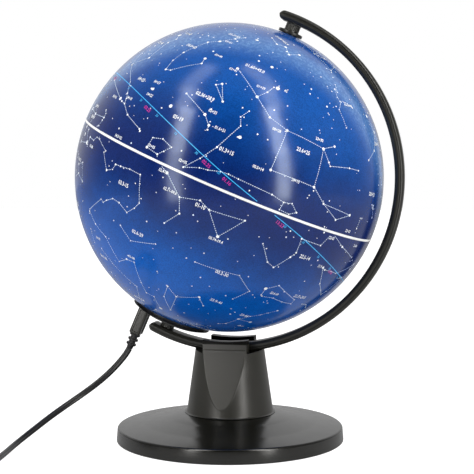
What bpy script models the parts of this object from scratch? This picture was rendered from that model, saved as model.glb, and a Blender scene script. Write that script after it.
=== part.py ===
"""Desk celestial globe on a tilted arm, lit from inside and fed by a USB lead. Metres, +Z up.

The origin is the centre of the base where it meets the table.
The arm lies in the XZ plane and leans towards +X.
"""

from math import acos, cos, pi, radians, sin, sqrt

import bmesh
import bpy
from mathutils import Vector

MM = 0.001
MERGE = 1e-7

# Driving dimensions
GLOBE_RADIUS = 100 * MM
GLOBE_HEIGHT = 171.4 * MM
POLAR_TILT = radians(23.45)
SHELL_WALL = 1.6 * MM
SHELL_EDGE = 1.4 * MM
NORTH_HOLE = 5.0 * MM
LAMP_HOLE = 23.6 * MM
HALF_BAND = 1.1 * MM
SLEEVE_INNER = 96.2 * MM
SLEEVE_OUTER = 97.5 * MM
SLEEVE_REACH = 5.0 * MM
NUT_BORE = 5.7 * MM
NUT_OUTER = 8.0 * MM
GAP = 0.3 * MM
FINE = 40
COARSE = 24
SMALL = 12

# Stand
BASE_RADIUS = 74.5 * MM
BASE_RIM_RADIUS = 73.8 * MM
BASE_RIM_HEIGHT = 9.4 * MM
BASE_TOP = 18.1 * MM
BASE_WALL = 2.0 * MM
BASE_HOLE = 20.0 * MM
PAD_RADIUS = 71.0 * MM
PAD_THICKNESS = 1.3 * MM
COVER_THICKNESS = 1.8 * MM
BOSS_CIRCLE = 67.4 * MM
BOSS_RADIUS = 3.4 * MM
NECK_FOOT_RADIUS = 28.4 * MM
NECK_TOP_RADIUS = 22.9 * MM
NECK_FOOT = BASE_TOP + GAP
NECK_TOP = 57.6 * MM
NECK_ROOF = 3.0 * MM
NECK_BORE = 13.6 * MM
NECK_FILLET = 1.0 * MM
BASE_FLAT_RADIUS = 30.0 * MM
NECK_SCREW_CIRCLE = 23.8 * MM
JAW_HALF_LENGTH = 14.6 * MM
JAW_OUTER = 15.8 * MM
JAW_INNER = 8.5 * MM
JAW_TOP = 67.0 * MM
JAW_ARC = 105.3 * MM
FACET_TIP = 23.5 * MM
FACET_TIP_OUT = 27.66 * MM
SCREW_SHANK = 1.4 * MM
SCREW_HEAD = 2.8 * MM
SCREW_HOLE = SCREW_SHANK + GAP
NECK_SCREW_TIP = 26.0 * MM
ARM_SCREW_RADIUS = 2.0 * MM
ARM_SCREW_TIP = 62.0 * MM

# Arm
ARM_INNER = 107.5 * MM
ARM_OUTER = 113.4 * MM
ARM_WIDTH = 12.0 * MM
ARM_OVERRUN = 7.5 * MM
ARM_EDGE = 1.1 * MM
ARM_STEPS = 49
PIN_RADIUS = 2.4 * MM
PIN_BOTTOM = 91.4 * MM
PIN_TOP = 111.0 * MM
TOP_POST_RADIUS = 4.95 * MM
BOTTOM_POST_RADIUS = 4.75 * MM
FLANGE_RADIUS = 7.95 * MM
FLANGE_BOTTOM = 100.3 * MM
FLANGE_TOP = 102.2 * MM
LAMP_SCREW_SEAT = -111.4 * MM
LAMP_SCREW_TIP = -94.6 * MM

# Lamp, along the polar axis from the globe's centre
CAP_RADIUS = 26.75 * MM
CAP_FACE = -100.2 * MM
CAP_BACK = -101.2 * MM
COLLAR_OUTER = 21.6 * MM
COLLAR_INNER = 20.6 * MM
COLLAR_TOP = -93.0 * MM
PLUG_OFFSET = -18.0 * MM
PLUG_DEPTH = 7.3 * MM
PLUG_WIDTH = 10.0 * MM
PLUG_LENGTH = 18.7 * MM
PLUG_TOP = CAP_BACK - GAP
TONGUE = (1.8 * MM, 6.8 * MM)
SOCKET_SLOT = (TONGUE[0] + 2 * GAP, TONGUE[1] + 2 * GAP)
SOCKET_WALL = 0.4 * MM
RELIEF_LENGTH = 10.8 * MM
RELIEF_PITCH = 3.4 * MM
RELIEF_RIB = 1.3 * MM
RELIEF_OUTER = 3.6 * MM
RELIEF_CORE = 2.3 * MM
SOCKET_TOP = -94.6 * MM
LED_BOARD_TOP = -59.9 * MM
LED_BOARD_RADIUS = 16.0 * MM
STEM_FOOT = 8.6 * MM
STEM_RADIUS = 7.4 * MM

# Lead
CABLE = 3.5 * MM
CABLE_SIDES = 2
CABLE_STEP = 2.4 * CABLE
TURN_PITCH = 3.6 * MM
COIL_MEAN_RADIUS = 19.1 * MM
COIL_BOTTOM = 0.9 * MM
COIL_HEIGHT = 6.6 * MM
COIL_CENTRE = Vector((-152.5, -97.0, 0)) * MM
LEAD_ROUTE_MM = (
    (-71.2, 0.0, 54.0),
    (-74.2, -0.1, 49.9),
    (-77.7, -0.4, 45.8),
    (-81.8, -1.0, 41.7),
    (-86.2, -2.0, 37.7),
    (-90.2, -3.4, 34.0),
    (-95.0, -5.9, 30.5),
    (-99.6, -9.0, 27.0),
    (-103.9, -12.7, 24.0),
    (-107.9, -17.1, 20.9),
    (-111.8, -22.0, 18.1),
    (-115.4, -27.4, 15.2),
    (-118.6, -33.3, 12.1),
    (-121.7, -39.6, 9.1),
    (-124.4, -46.5, 6.5),
    (-126.5, -54.2, 4.2),
    (-127.2, -60.4, 3.0),
    (-126.9, -67.2, 2.3),
    (-126.2, -75.0, 1.9),
    (-125.2, -83.7, 1.8),
    (-124.5, -92.0, 1.8),
)
TAIL_ROUTE_MM = (
    (-175.2, -80.6, 4.7),
    (-175.2, -76.0, 4.4),
    (-175.2, -71.4, 4.2),
)
USB_A_START = -71.1 * MM
USB_A_LINE = (-175.2 * MM, 4.2 * MM)


def clear_scene():
    for obj in list(bpy.data.objects):
        bpy.data.objects.remove(obj)


def finish_material(name, colour, roughness, metallic=0.0):
    made = bpy.data.materials.new(name)
    made.use_nodes = True
    shader = made.node_tree.nodes["Principled BSDF"]
    shader.inputs["Base Color"].default_value = (*colour, 1)
    shader.inputs["Roughness"].default_value = roughness
    shader.inputs["Metallic"].default_value = metallic
    made.diffuse_color = (*colour, 1)
    return made


BLACK_PLASTIC = (0.028, 0.028, 0.03)
STEEL = (0.56, 0.57, 0.58)
SKY_BLUE = (0.012, 0.035, 0.22)


def place(name, data, material, parent=None):
    """Puts a mesh or a curve in the scene, under the empty that carries its axis."""
    obj = bpy.data.objects.new(name, data)
    obj.data.materials.append(material)
    obj.parent = parent
    bpy.context.scene.collection.objects.link(obj)
    return obj


def mesh_from(name, bm):
    bmesh.ops.recalc_face_normals(bm, faces=bm.faces)
    mesh = bpy.data.meshes.new(name)
    bm.to_mesh(mesh)
    bm.free()
    mesh.shade_smooth()
    mesh.set_sharp_from_angle(angle=radians(35))
    return mesh


def turned_mesh(name, profile, segments, hollow):
    """A profile of (radius, height) points spun about Z. A hollow one is a loop clear of the axis."""
    bm = bmesh.new()
    points = [bm.verts.new((radius, 0, height)) for radius, height in profile]
    edges = [bm.edges.new(pair) for pair in zip(points, points[1:])]
    if hollow:
        edges.append(bm.edges.new((points[-1], points[0])))
    bmesh.ops.spin(
        bm,
        geom=points + edges,
        axis=(0, 0, 1),
        cent=(0, 0, 0),
        steps=segments,
        angle=2 * pi,
        use_merge=True,
    )
    bmesh.ops.remove_doubles(bm, verts=bm.verts, dist=MERGE)
    return mesh_from(name, bm)


def turned(name, profile, material, parent=None, segments=COARSE, hollow=False):
    return place(name, turned_mesh(name, profile, segments, hollow), material, parent)


def ring(name, inner, outer, low, high, material, parent=None, segments=COARSE):
    """A plain ring of rectangular section."""
    profile = [(inner, low), (outer, low), (outer, high), (inner, high)]
    return turned(name, profile, material, parent, segments, hollow=True)


def arc(radius, start, end, count, centre=(0, 0)):
    """Points on an arc, with angles measured from the first axis."""
    angles = [start + (end - start) * i / (count - 1) for i in range(count)]
    return [(centre[0] + radius * cos(a), centre[1] + radius * sin(a)) for a in angles]


def block(name, size, centre, material, parent=None, bevel=0.0):
    bm = bmesh.new()
    bmesh.ops.create_cube(bm, size=1)
    bmesh.ops.scale(bm, vec=size, verts=bm.verts)
    if bevel:
        bmesh.ops.bevel(bm, geom=bm.edges, offset=bevel, segments=2, affect="EDGES", profile=0.5)
    obj = place(name, mesh_from(name, bm), material, parent)
    obj.location = centre
    return obj


def as_cutter(obj):
    obj.hide_render = True
    obj.display_type = "WIRE"
    return obj


def combine(obj, other, operation="DIFFERENCE"):
    modifier = obj.modifiers.new(f"{operation.title()} {other.name}", "BOOLEAN")
    modifier.operation = operation
    modifier.solver = "EXACT"
    modifier.object = as_cutter(other)


def drill(obj, radius, low, high, material, parent=None, at=(0, 0)):
    """Cuts a round hole along Z at a place across it."""
    profile = [(0, low), (radius, low), (radius, high), (0, high)]
    cutter = turned(f"{obj.name}_hole", profile, material, parent, segments=SMALL)
    cutter.location = (*at, 0)
    combine(obj, cutter)


def screw(name, head, shank, low, high, tip, material, parent=None, at=(0, 0)):
    """A screw along Z: its head from low to high, its shank from high to tip."""
    profile = [(0, low), (head, low), (head, high), (shank, high), (shank, tip), (0, tip)]
    made = turned(name, profile, material, parent, segments=SMALL)
    made.location = (*at, 0)
    return made


def around(count, radius, start=0.0):
    """Evenly spaced places on a circle."""
    angles = [start + 2 * pi * i / count for i in range(count)]
    return [(radius * cos(a), radius * sin(a)) for a in angles]


def curve_through(points, step):
    """Evenly spaced points on a smooth curve through the given ones."""
    ends = [2 * points[0] - points[1], *points, 2 * points[-1] - points[-2]]
    dense = []
    for before, start, end, after in zip(ends, ends[1:], ends[2:], ends[3:]):
        for i in range(16):
            t = i / 16
            dense.append(
                0.5
                * (
                    2 * start
                    + (end - before) * t
                    + (2 * before - 5 * start + 4 * end - after) * t**2
                    + (3 * start - before - 3 * end + after) * t**3
                )
            )
    dense.append(points[-1])
    total = sum((b - a).length for a, b in zip(dense, dense[1:]))
    count = max(2, round(total / step))
    even = [dense[0]]
    travelled = 0.0
    for a, b in zip(dense, dense[1:]):
        travelled += (b - a).length
        if travelled >= total * len(even) / count - 1e-9 and len(even) < count:
            even.append(b)
    return [*even, dense[-1]]


def tube(name, points, diameter, material, parent=None):
    """A round cord with closed ends along a list of points."""
    curve = bpy.data.curves.new(name, "CURVE")
    curve.dimensions = "3D"
    curve.bevel_depth = diameter / 2
    curve.bevel_resolution = CABLE_SIDES
    curve.use_fill_caps = True
    spline = curve.splines.new("POLY")
    spline.points.add(len(points) - 1)
    for slot, point in zip(spline.points, points):
        slot.co = (*point, 1)
    return place(name, curve, material, parent)


def axis_empty(name):
    """An empty at the globe's centre whose Z is the polar axis."""
    empty = bpy.data.objects.new(name, None)
    empty.location = (0, 0, GLOBE_HEIGHT)
    empty.rotation_euler = (0, POLAR_TILT, 0)
    bpy.context.scene.collection.objects.link(empty)
    return empty


def build_base():
    """The weighted foot: shell, weight, cover, pad and their screws."""
    plastic = finish_material("base_plastic", BLACK_PLASTIC, 0.38)
    chamfer = 1.2 * MM
    roof = [(BASE_RIM_RADIUS, BASE_RIM_HEIGHT - chamfer), (BASE_RIM_RADIUS - chamfer, BASE_RIM_HEIGHT)]
    under = BASE_TOP - BASE_WALL
    side = BASE_RADIUS - BASE_WALL
    shell_profile = [
        (BASE_HOLE, BASE_TOP),
        (BASE_FLAT_RADIUS, BASE_TOP),
        (40 * MM, BASE_TOP - 2.8 * MM),
        (56 * MM, BASE_TOP - 6.1 * MM),
        *reversed(roof),
        (BASE_RADIUS, 1.0 * MM),
        (BASE_RADIUS - 0.5 * MM, 0.4 * MM),
        (side, 0.4 * MM),
        (side, BASE_RIM_HEIGHT - BASE_WALL),
        (56 * MM, under - 6.1 * MM),
        (40 * MM, under - 2.8 * MM),
        (BASE_FLAT_RADIUS, under),
        (BASE_HOLE, under),
    ]
    shell = turned("base_shell", shell_profile, plastic, segments=FINE, hollow=True)
    cover_low = PAD_THICKNESS + GAP
    cover_high = cover_low + COVER_THICKNESS
    for place_at in around(3, BOSS_CIRCLE, pi / 2):
        low = cover_high + GAP
        high = BASE_RIM_HEIGHT - 0.6 * MM
        boss_profile = [(0, low), (BOSS_RADIUS, low), (BOSS_RADIUS, high), (0, high)]
        boss = turned("cover_boss", boss_profile, plastic, segments=SMALL)
        boss.location = (*place_at, 0)
        combine(shell, boss, "UNION")
    zinc = finish_material("screw_steel", STEEL, 0.35, 1)
    cover_plastic = finish_material("cover_plastic", (0.03, 0.03, 0.032), 0.6)
    cover = turned(
        "bottom_cover",
        [(0, cover_low), (side - GAP, cover_low), (side - GAP, cover_high), (0, cover_high)],
        cover_plastic,
        segments=FINE,
    )
    for index, place_at in enumerate(around(3, BOSS_CIRCLE, pi / 2), 1):
        drill(shell, SCREW_HOLE, cover_high, 8.0 * MM, plastic, at=place_at)
        drill(cover, SCREW_HOLE, cover_low - GAP, cover_high + GAP, plastic, at=place_at)
        drill(cover, SCREW_HEAD + GAP, cover_low - GAP, cover_low + 1.1 * MM, plastic, at=place_at)
        head = cover_low + 0.7 * MM
        screw(f"cover_screw_{index}", SCREW_HEAD, SCREW_SHANK, cover_low, head, 7.6 * MM, zinc, at=place_at)
    for index, place_at in enumerate(around(3, NECK_SCREW_CIRCLE, pi / 6), 1):
        drill(shell, SCREW_HOLE, under - GAP, BASE_TOP + GAP, plastic, at=place_at)
        head = under - GAP
        name = f"neck_screw_{index}"
        screw(name, SCREW_HEAD, SCREW_SHANK, head - 1.9 * MM, head, NECK_SCREW_TIP, zinc, at=place_at)
    weight = finish_material("base_weight", (0.33, 0.33, 0.34), 0.6, 1)
    ring("base_weight", 34 * MM, 63.4 * MM, cover_high + GAP, 8.3 * MM, weight, segments=FINE)
    pad = finish_material("base_pad", (0.02, 0.02, 0.022), 0.95)
    pad_profile = [(0, 0), (PAD_RADIUS, 0), (PAD_RADIUS, PAD_THICKNESS), (0, PAD_THICKNESS)]
    turned("base_pad", pad_profile, pad, segments=FINE)


def facet_cutter(side, material):
    """A wedge that planes the neck flat on one side, from the jaw's top down to a tip on the cone."""
    slope = (FACET_TIP_OUT - JAW_OUTER) / (JAW_TOP - FACET_TIP)
    low = FACET_TIP - 8 * MM
    high = JAW_TOP + 8 * MM
    low_out = FACET_TIP_OUT + slope * (FACET_TIP - low)
    high_out = FACET_TIP_OUT + slope * (FACET_TIP - high)
    far = 60 * MM
    bm = bmesh.new()
    outline = [(low_out, low), (far, low), (far, high), (high_out, high)]
    face = bm.faces.new([bm.verts.new((-far, side * y, z)) for y, z in outline])
    swept = bmesh.ops.extrude_face_region(bm, geom=[face])["geom"]
    moved = [part for part in swept if isinstance(part, bmesh.types.BMVert)]
    bmesh.ops.translate(bm, verts=moved, vec=(2 * far, 0, 0))
    return place(f"facet_cutter_{'front' if side < 0 else 'rear'}", mesh_from("facet_cutter", bm), material)


def build_neck():
    """The tapered neck with two flat facets that rise into the jaws beside the arm."""
    plastic = finish_material("neck_plastic", BLACK_PLASTIC, 0.36)
    taper = (NECK_FOOT_RADIUS - NECK_TOP_RADIUS) / (NECK_TOP - NECK_FOOT)
    summit = JAW_TOP + 2 * MM
    summit_radius = NECK_TOP_RADIUS - taper * (summit - NECK_TOP)
    under_roof = NECK_TOP - NECK_ROOF
    foot_radius = NECK_FOOT_RADIUS + NECK_FILLET
    profile = [
        (0, under_roof),
        (NECK_BORE, under_roof),
        (BASE_HOLE, NECK_FOOT),
        (foot_radius, NECK_FOOT),
        (foot_radius - 0.6 * NECK_FILLET, NECK_FOOT + 0.4 * NECK_FILLET),
        (NECK_FOOT_RADIUS, NECK_FOOT + 1.4 * NECK_FILLET),
        (summit_radius, summit),
        (0, summit),
    ]
    neck = turned("neck", profile, plastic, segments=56)
    for side in (-1, 1):
        combine(neck, facet_cutter(side, plastic))
    tall = 30 * MM
    wide = 80 * MM
    above = NECK_TOP + tall / 2
    combine(neck, block("arm_slot", (wide, 2 * JAW_INNER, tall), (0, 0, above), plastic))
    for side in (-1, 1):
        middle = side * (JAW_HALF_LENGTH + wide / 4)
        combine(neck, block("shoulder_cutter", (wide / 2, wide, tall), (middle, 0, above), plastic))
    dish_profile = [(0, -wide / 2), (JAW_ARC, -wide / 2), (JAW_ARC, wide / 2), (0, wide / 2)]
    dish = turned("jaw_top_cutter", dish_profile, plastic, segments=160)
    dish.location = (0, 0, GLOBE_HEIGHT)
    dish.rotation_euler = (pi / 2, 0, 0)
    combine(neck, dish)
    drill(neck, ARM_SCREW_RADIUS + GAP, under_roof - GAP, NECK_TOP + GAP, plastic)
    for place_at in around(3, NECK_SCREW_CIRCLE, pi / 6):
        drill(neck, SCREW_HOLE, NECK_FOOT - GAP, NECK_SCREW_TIP + 0.4 * MM, plastic, at=place_at)
    zinc = finish_material("arm_screw_steel", STEEL, 0.35, 1)
    washer_top = under_roof - GAP
    washer_bottom = washer_top - 0.9 * MM
    head_top = washer_bottom - GAP
    head_bottom = head_top - 2.7 * MM
    screw("arm_screw", 3.6 * MM, ARM_SCREW_RADIUS, head_bottom, head_top, ARM_SCREW_TIP, zinc)
    ring("arm_washer", ARM_SCREW_RADIUS + 0.4 * MM, 5.0 * MM, washer_bottom, washer_top, zinc)


def build_arm(polar):
    """The half meridian from above the north pole to below the south pole, and its two posts."""
    plastic = finish_material("arm_plastic", BLACK_PLASTIC, 0.34)
    middle = (ARM_INNER + ARM_OUTER) / 2
    half = (ARM_OUTER - ARM_INNER) / 2
    over = ARM_OVERRUN / middle
    start = pi / 2 + over
    end = -pi / 2 - over
    tips = [(middle * cos(a), middle * sin(a)) for a in (start, end)]
    outline = [
        *arc(ARM_OUTER, start, end, ARM_STEPS),
        *arc(half, end, end - pi, 7, tips[1])[1:-1],
        *arc(ARM_INNER, end, start, ARM_STEPS),
        *arc(half, start + pi, start, 7, tips[0])[1:-1],
    ]
    bm = bmesh.new()
    face = bm.faces.new([bm.verts.new((x, -ARM_WIDTH / 2, z)) for x, z in outline])
    swept = bmesh.ops.extrude_face_region(bm, geom=[face])["geom"]
    moved = [part for part in swept if isinstance(part, bmesh.types.BMVert)]
    bmesh.ops.translate(bm, verts=moved, vec=(0, ARM_WIDTH, 0))
    rims = [edge for edge in bm.edges if abs(edge.verts[0].co.y - edge.verts[1].co.y) < MERGE]
    bmesh.ops.bevel(bm, geom=rims, offset=ARM_EDGE, segments=2, affect="EDGES", profile=0.5)
    arm = place("meridian_arm", mesh_from("meridian_arm", bm), plastic, polar)
    drill(arm, PIN_RADIUS + GAP, ARM_INNER - 2 * MM, PIN_TOP + GAP, plastic, polar)
    drill(arm, SCREW_HOLE, -ARM_OUTER - 2 * MM, -ARM_INNER + 2 * MM, plastic, polar)
    drill(arm, SCREW_HEAD + GAP, -ARM_OUTER - 2 * MM, LAMP_SCREW_SEAT + GAP, plastic, polar)
    hole = ARM_SCREW_RADIUS + GAP
    hole_top = ARM_SCREW_TIP + GAP
    hole_profile = [(0, NECK_TOP - GAP), (hole, NECK_TOP - GAP), (hole, hole_top), (0, hole_top)]
    combine(arm, turned("arm_screw_hole", hole_profile, plastic, segments=SMALL))
    post_end = ARM_INNER - 0.45 * MM
    ring("top_post", PIN_RADIUS + GAP, TOP_POST_RADIUS, FLANGE_TOP + GAP, post_end, plastic, polar)
    ring("bottom_post", SCREW_HOLE, BOTTOM_POST_RADIUS, -post_end, CAP_BACK - GAP, plastic, polar)
    steel = finish_material("pin_steel", STEEL, 0.25, 1)
    chamfer = 0.5 * MM
    pin_profile = [
        (0, PIN_BOTTOM),
        (PIN_RADIUS - chamfer, PIN_BOTTOM),
        (PIN_RADIUS, PIN_BOTTOM + chamfer),
        (PIN_RADIUS, PIN_TOP),
        (0, PIN_TOP),
    ]
    turned("axle_pin", pin_profile, steel, polar, segments=SMALL)
    clip = PIN_BOTTOM + 0.8 * MM
    ring("pin_retaining_ring", PIN_RADIUS + GAP, 4.5 * MM, clip, clip + 0.8 * MM, steel, polar)
    head = LAMP_SCREW_SEAT - 1.6 * MM
    screw("lamp_cap_screw", SCREW_HEAD, SCREW_SHANK, head, LAMP_SCREW_SEAT, LAMP_SCREW_TIP, steel, polar)


def hemisphere(name, hole, side, material, spin):
    """Half the printed shell, from just beside the equator band to the hole round its pole."""
    inner_radius = GLOBE_RADIUS - SHELL_WALL
    outer = arc(GLOBE_RADIUS, SHELL_EDGE / GLOBE_RADIUS, acos(hole / GLOBE_RADIUS), 11)
    inner = arc(inner_radius, acos(hole / inner_radius), SHELL_EDGE / inner_radius, 8)
    profile = [(radius, side * height) for radius, height in outer + inner]
    return turned(name, profile, material, spin, segments=FINE, hollow=True)


def build_globe(spin):
    """What turns: two hemispheres, the ring that joins them, and a bush at each pole."""
    sky = finish_material("sky_shell", SKY_BLUE, 0.3)
    hemisphere("north_hemisphere", NORTH_HOLE, 1, sky, spin)
    hemisphere("south_hemisphere", LAMP_HOLE, -1, sky, spin)
    white = finish_material("equator_white", (0.8, 0.8, 0.8), 0.4)
    ring_profile = [
        (SLEEVE_INNER, -SLEEVE_REACH),
        (SLEEVE_OUTER, -SLEEVE_REACH),
        (SLEEVE_OUTER, -HALF_BAND),
        (GLOBE_RADIUS, -HALF_BAND),
        (GLOBE_RADIUS, HALF_BAND),
        (SLEEVE_OUTER, HALF_BAND),
        (SLEEVE_OUTER, SLEEVE_REACH),
        (SLEEVE_INNER, SLEEVE_REACH),
    ]
    turned("equator_ring", ring_profile, white, spin, segments=FINE, hollow=True)
    bush = finish_material("bush_plastic", BLACK_PLASTIC, 0.4)
    bore = PIN_RADIUS + GAP
    barrel = NORTH_HOLE - 0.4 * MM
    barrel_bottom = PIN_BOTTOM + 2 * MM
    corner = 0.4 * MM
    bush_profile = [
        (bore, barrel_bottom),
        (barrel, barrel_bottom),
        (barrel, FLANGE_BOTTOM),
        (FLANGE_RADIUS - corner, FLANGE_BOTTOM),
        (FLANGE_RADIUS, FLANGE_BOTTOM + corner),
        (FLANGE_RADIUS, FLANGE_TOP - corner),
        (FLANGE_RADIUS - corner, FLANGE_TOP),
        (bore, FLANGE_TOP),
    ]
    turned("north_bush", bush_profile, bush, spin, hollow=True)
    ring("north_bush_nut", NUT_BORE, NUT_OUTER, 95.0 * MM, 97.6 * MM, bush, spin, segments=6)
    bore = COLLAR_OUTER + GAP
    fit = LAMP_HOLE - GAP
    lip = LAMP_HOLE + 2.8 * MM
    collar_profile = [
        (bore, -99.4 * MM),
        (fit, -99.4 * MM),
        (fit, -94.2 * MM),
        (lip, -94.2 * MM),
        (lip, -92.8 * MM),
        (bore, -92.8 * MM),
    ]
    turned("south_collar", collar_profile, bush, spin, segments=FINE, hollow=True)


def build_cap(polar):
    """The stationary cap under the south pole: a thin plate with a collar inside the globe's opening."""
    plastic = finish_material("cap_plastic", BLACK_PLASTIC, 0.34)
    rim = 0.3 * MM
    profile = [
        (0, CAP_BACK),
        (CAP_RADIUS - rim, CAP_BACK),
        (CAP_RADIUS, CAP_BACK + rim),
        (CAP_RADIUS, CAP_FACE - rim),
        (CAP_RADIUS - rim, CAP_FACE),
        (COLLAR_OUTER, CAP_FACE),
        (COLLAR_OUTER, COLLAR_TOP),
        (COLLAR_INNER, COLLAR_TOP),
        (COLLAR_INNER, CAP_FACE),
        (0, CAP_FACE),
    ]
    cap = turned("lamp_cap", profile, plastic, polar, segments=FINE)
    drill(cap, SCREW_HOLE, CAP_BACK - GAP, CAP_FACE + GAP, plastic, polar)
    slot = block("plug_slot", (*SOCKET_SLOT, 12 * MM), (PLUG_OFFSET, 0, CAP_BACK), plastic, polar)
    combine(cap, slot)


def build_lamp(polar):
    """The socket inside the cap, and the light that stands on the cap inside the globe."""
    metal = finish_material("socket_metal", (0.62, 0.62, 0.6), 0.3, 1)
    low = CAP_FACE + GAP
    mouth = SOCKET_TOP - SOCKET_WALL
    across, wide = SOCKET_SLOT
    size = (across + 2 * SOCKET_WALL, wide + 2 * SOCKET_WALL, SOCKET_TOP - low)
    socket = block("power_socket", size, (PLUG_OFFSET, 0, (SOCKET_TOP + low) / 2), metal, polar)
    deep = 12 * MM
    opening = block("socket_mouth", (*SOCKET_SLOT, deep), (PLUG_OFFSET, 0, mouth - deep / 2), metal, polar)
    combine(socket, opening)
    board = finish_material("board_green", (0.03, 0.16, 0.07), 0.45)
    board_size = (9.9 * MM, 9.0 * MM, 1.2 * MM)
    block("socket_board", board_size, (-14.3 * MM, 0, SOCKET_TOP + 0.9 * MM), board, polar)
    white = finish_material("lamp_white", (0.75, 0.75, 0.73), 0.5)
    stem_high = LED_BOARD_TOP - 1.8 * MM
    stem_profile = [
        (0, low),
        (STEM_FOOT, low),
        (STEM_FOOT, low + 2 * MM),
        (STEM_RADIUS, low + 4 * MM),
        (STEM_RADIUS, stem_high),
        (0, stem_high),
    ]
    stem = turned("lamp_stem", stem_profile, white, polar)
    drill(stem, SCREW_HOLE, low - GAP, LAMP_SCREW_TIP + GAP, white, polar)
    board_low = LED_BOARD_TOP - 1.5 * MM
    disc = [
        (0, board_low),
        (LED_BOARD_RADIUS, board_low),
        (LED_BOARD_RADIUS, LED_BOARD_TOP),
        (0, LED_BOARD_TOP),
    ]
    turned("led_board", disc, white, polar)
    chip = finish_material("led_chip", (0.85, 0.75, 0.35), 0.35)
    for index, (x, y) in enumerate(around(4, 7 * MM, pi / 4), 1):
        chip_middle = (x, y, LED_BOARD_TOP + 0.7 * MM)
        block(f"led_{index}", (2.8 * MM, 3.5 * MM, 0.8 * MM), chip_middle, chip, polar)
    frosted = finish_material("diffuser_frosted", (0.85, 0.85, 0.83), 0.55)
    inner = LED_BOARD_RADIUS + GAP
    outer = inner + 1.2 * MM
    skirt = LED_BOARD_TOP - 1.2 * MM
    rise = LED_BOARD_TOP + 5 * MM
    dome_profile = [
        (inner, skirt),
        (outer, skirt),
        *arc(outer, 0, pi / 2, 6, (0, rise)),
        *arc(inner, pi / 2, 0, 6, (0, rise)),
    ]
    turned("diffuser_dome", dome_profile, frosted, polar, hollow=True)
    insulation = finish_material("lamp_wire", (0.5, 0.03, 0.02), 0.5)
    for index, side in enumerate((-1, 1), 1):
        run = [(-13.2, 2.2, -92.1), (-12.6, 2.3, -84.0), (-12.0, 2.6, -74.0), (-11.6, 2.8, -61.8)]
        points = [Vector((x, side * y, z)) * MM for x, y, z in run]
        tube(f"lamp_wire_{index}", curve_through(points, 4 * MM), 1.2 * MM, insulation, polar)


def build_plug(polar):
    """The lead's small plug in the lamp cap, with its ribbed strain relief."""
    rubber = finish_material("lead_rubber", (0.022, 0.022, 0.024), 0.5)
    metal = finish_material("plug_metal", (0.62, 0.62, 0.6), 0.3, 1)
    block(
        "plug_body",
        (PLUG_DEPTH, PLUG_WIDTH, PLUG_LENGTH),
        (PLUG_OFFSET, 0, PLUG_TOP - PLUG_LENGTH / 2),
        rubber,
        polar,
        bevel=0.9 * MM,
    )
    low = PLUG_TOP + GAP
    high = SOCKET_TOP - SOCKET_WALL - 1.0 * MM
    block("plug_tongue", (*TONGUE, high - low), (PLUG_OFFSET, 0, (low + high) / 2), metal, polar)
    top = PLUG_TOP - PLUG_LENGTH - GAP
    profile = [(0, top)]
    for rib in range(3):
        start = top - rib * RELIEF_PITCH
        end = start - RELIEF_RIB
        profile += [(RELIEF_OUTER, start), (RELIEF_OUTER, end), (RELIEF_CORE, end)]
        if rib < 2:
            profile.append((RELIEF_CORE, start - RELIEF_PITCH))
    profile += [(RELIEF_CORE, top - RELIEF_LENGTH), (0, top - RELIEF_LENGTH)]
    relief = turned("strain_relief", profile, rubber, polar, segments=SMALL)
    relief.location = (PLUG_OFFSET, 0, 0)


def lead_start():
    """Where the lead leaves its strain relief."""
    down = -Vector((sin(POLAR_TILT), 0, cos(POLAR_TILT)))
    across = Vector((cos(POLAR_TILT), 0, -sin(POLAR_TILT)))
    depth = PLUG_LENGTH + RELIEF_LENGTH + 2 * GAP - PLUG_TOP
    return Vector((0, 0, GLOBE_HEIGHT)) + down * depth + across * PLUG_OFFSET


def build_lead():
    """The lead to the table, the coil of its spare length, and its far plug."""
    rubber = finish_material("cable_rubber", (0.022, 0.022, 0.024), 0.5)
    route = [lead_start(), *(Vector(point) * MM for point in LEAD_ROUTE_MM)]
    tube("cable", curve_through(route, CABLE_STEP), CABLE, rubber)
    tail = [Vector(point) * MM for point in TAIL_ROUTE_MM]
    tube("cable_tail", curve_through(tail, CABLE), CABLE, rubber)
    half_width = (3 * TURN_PITCH + CABLE) / 2
    inner = COIL_MEAN_RADIUS - half_width
    outer = COIL_MEAN_RADIUS + half_width
    high = COIL_BOTTOM + COIL_HEIGHT
    soft = CABLE / 3
    coil_profile = [
        (inner, COIL_BOTTOM + soft),
        (inner + soft, COIL_BOTTOM),
        (outer - soft, COIL_BOTTOM),
        (outer, COIL_BOTTOM + soft),
        (outer - soft, high),
        (inner + soft, high),
    ]
    coil = turned("cable_coil", coil_profile, rubber, segments=32, hollow=True)
    coil.location = COIL_CENTRE
    build_tie(inner, outer, high)
    build_far_plug(rubber)


def build_tie(inner, outer, high):
    """A strap round the coil's turns on its far side."""
    strap = finish_material("tie_plastic", (0.03, 0.03, 0.03), 0.45)
    thickness = 0.55 * MM
    width = 5 * MM
    middle = COIL_CENTRE + Vector((0, -COIL_MEAN_RADIUS, (COIL_BOTTOM + high) / 2))
    across = outer - inner + 2 * GAP + 0.6 * MM
    tall = high - COIL_BOTTOM + 2 * GAP
    size = (width, across + 2 * thickness, tall + 2 * thickness)
    tie = block("coil_tie", size, middle, strap, bevel=0.4 * MM)
    combine(tie, block("tie_opening", (2 * width, across, tall), middle, strap))


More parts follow.
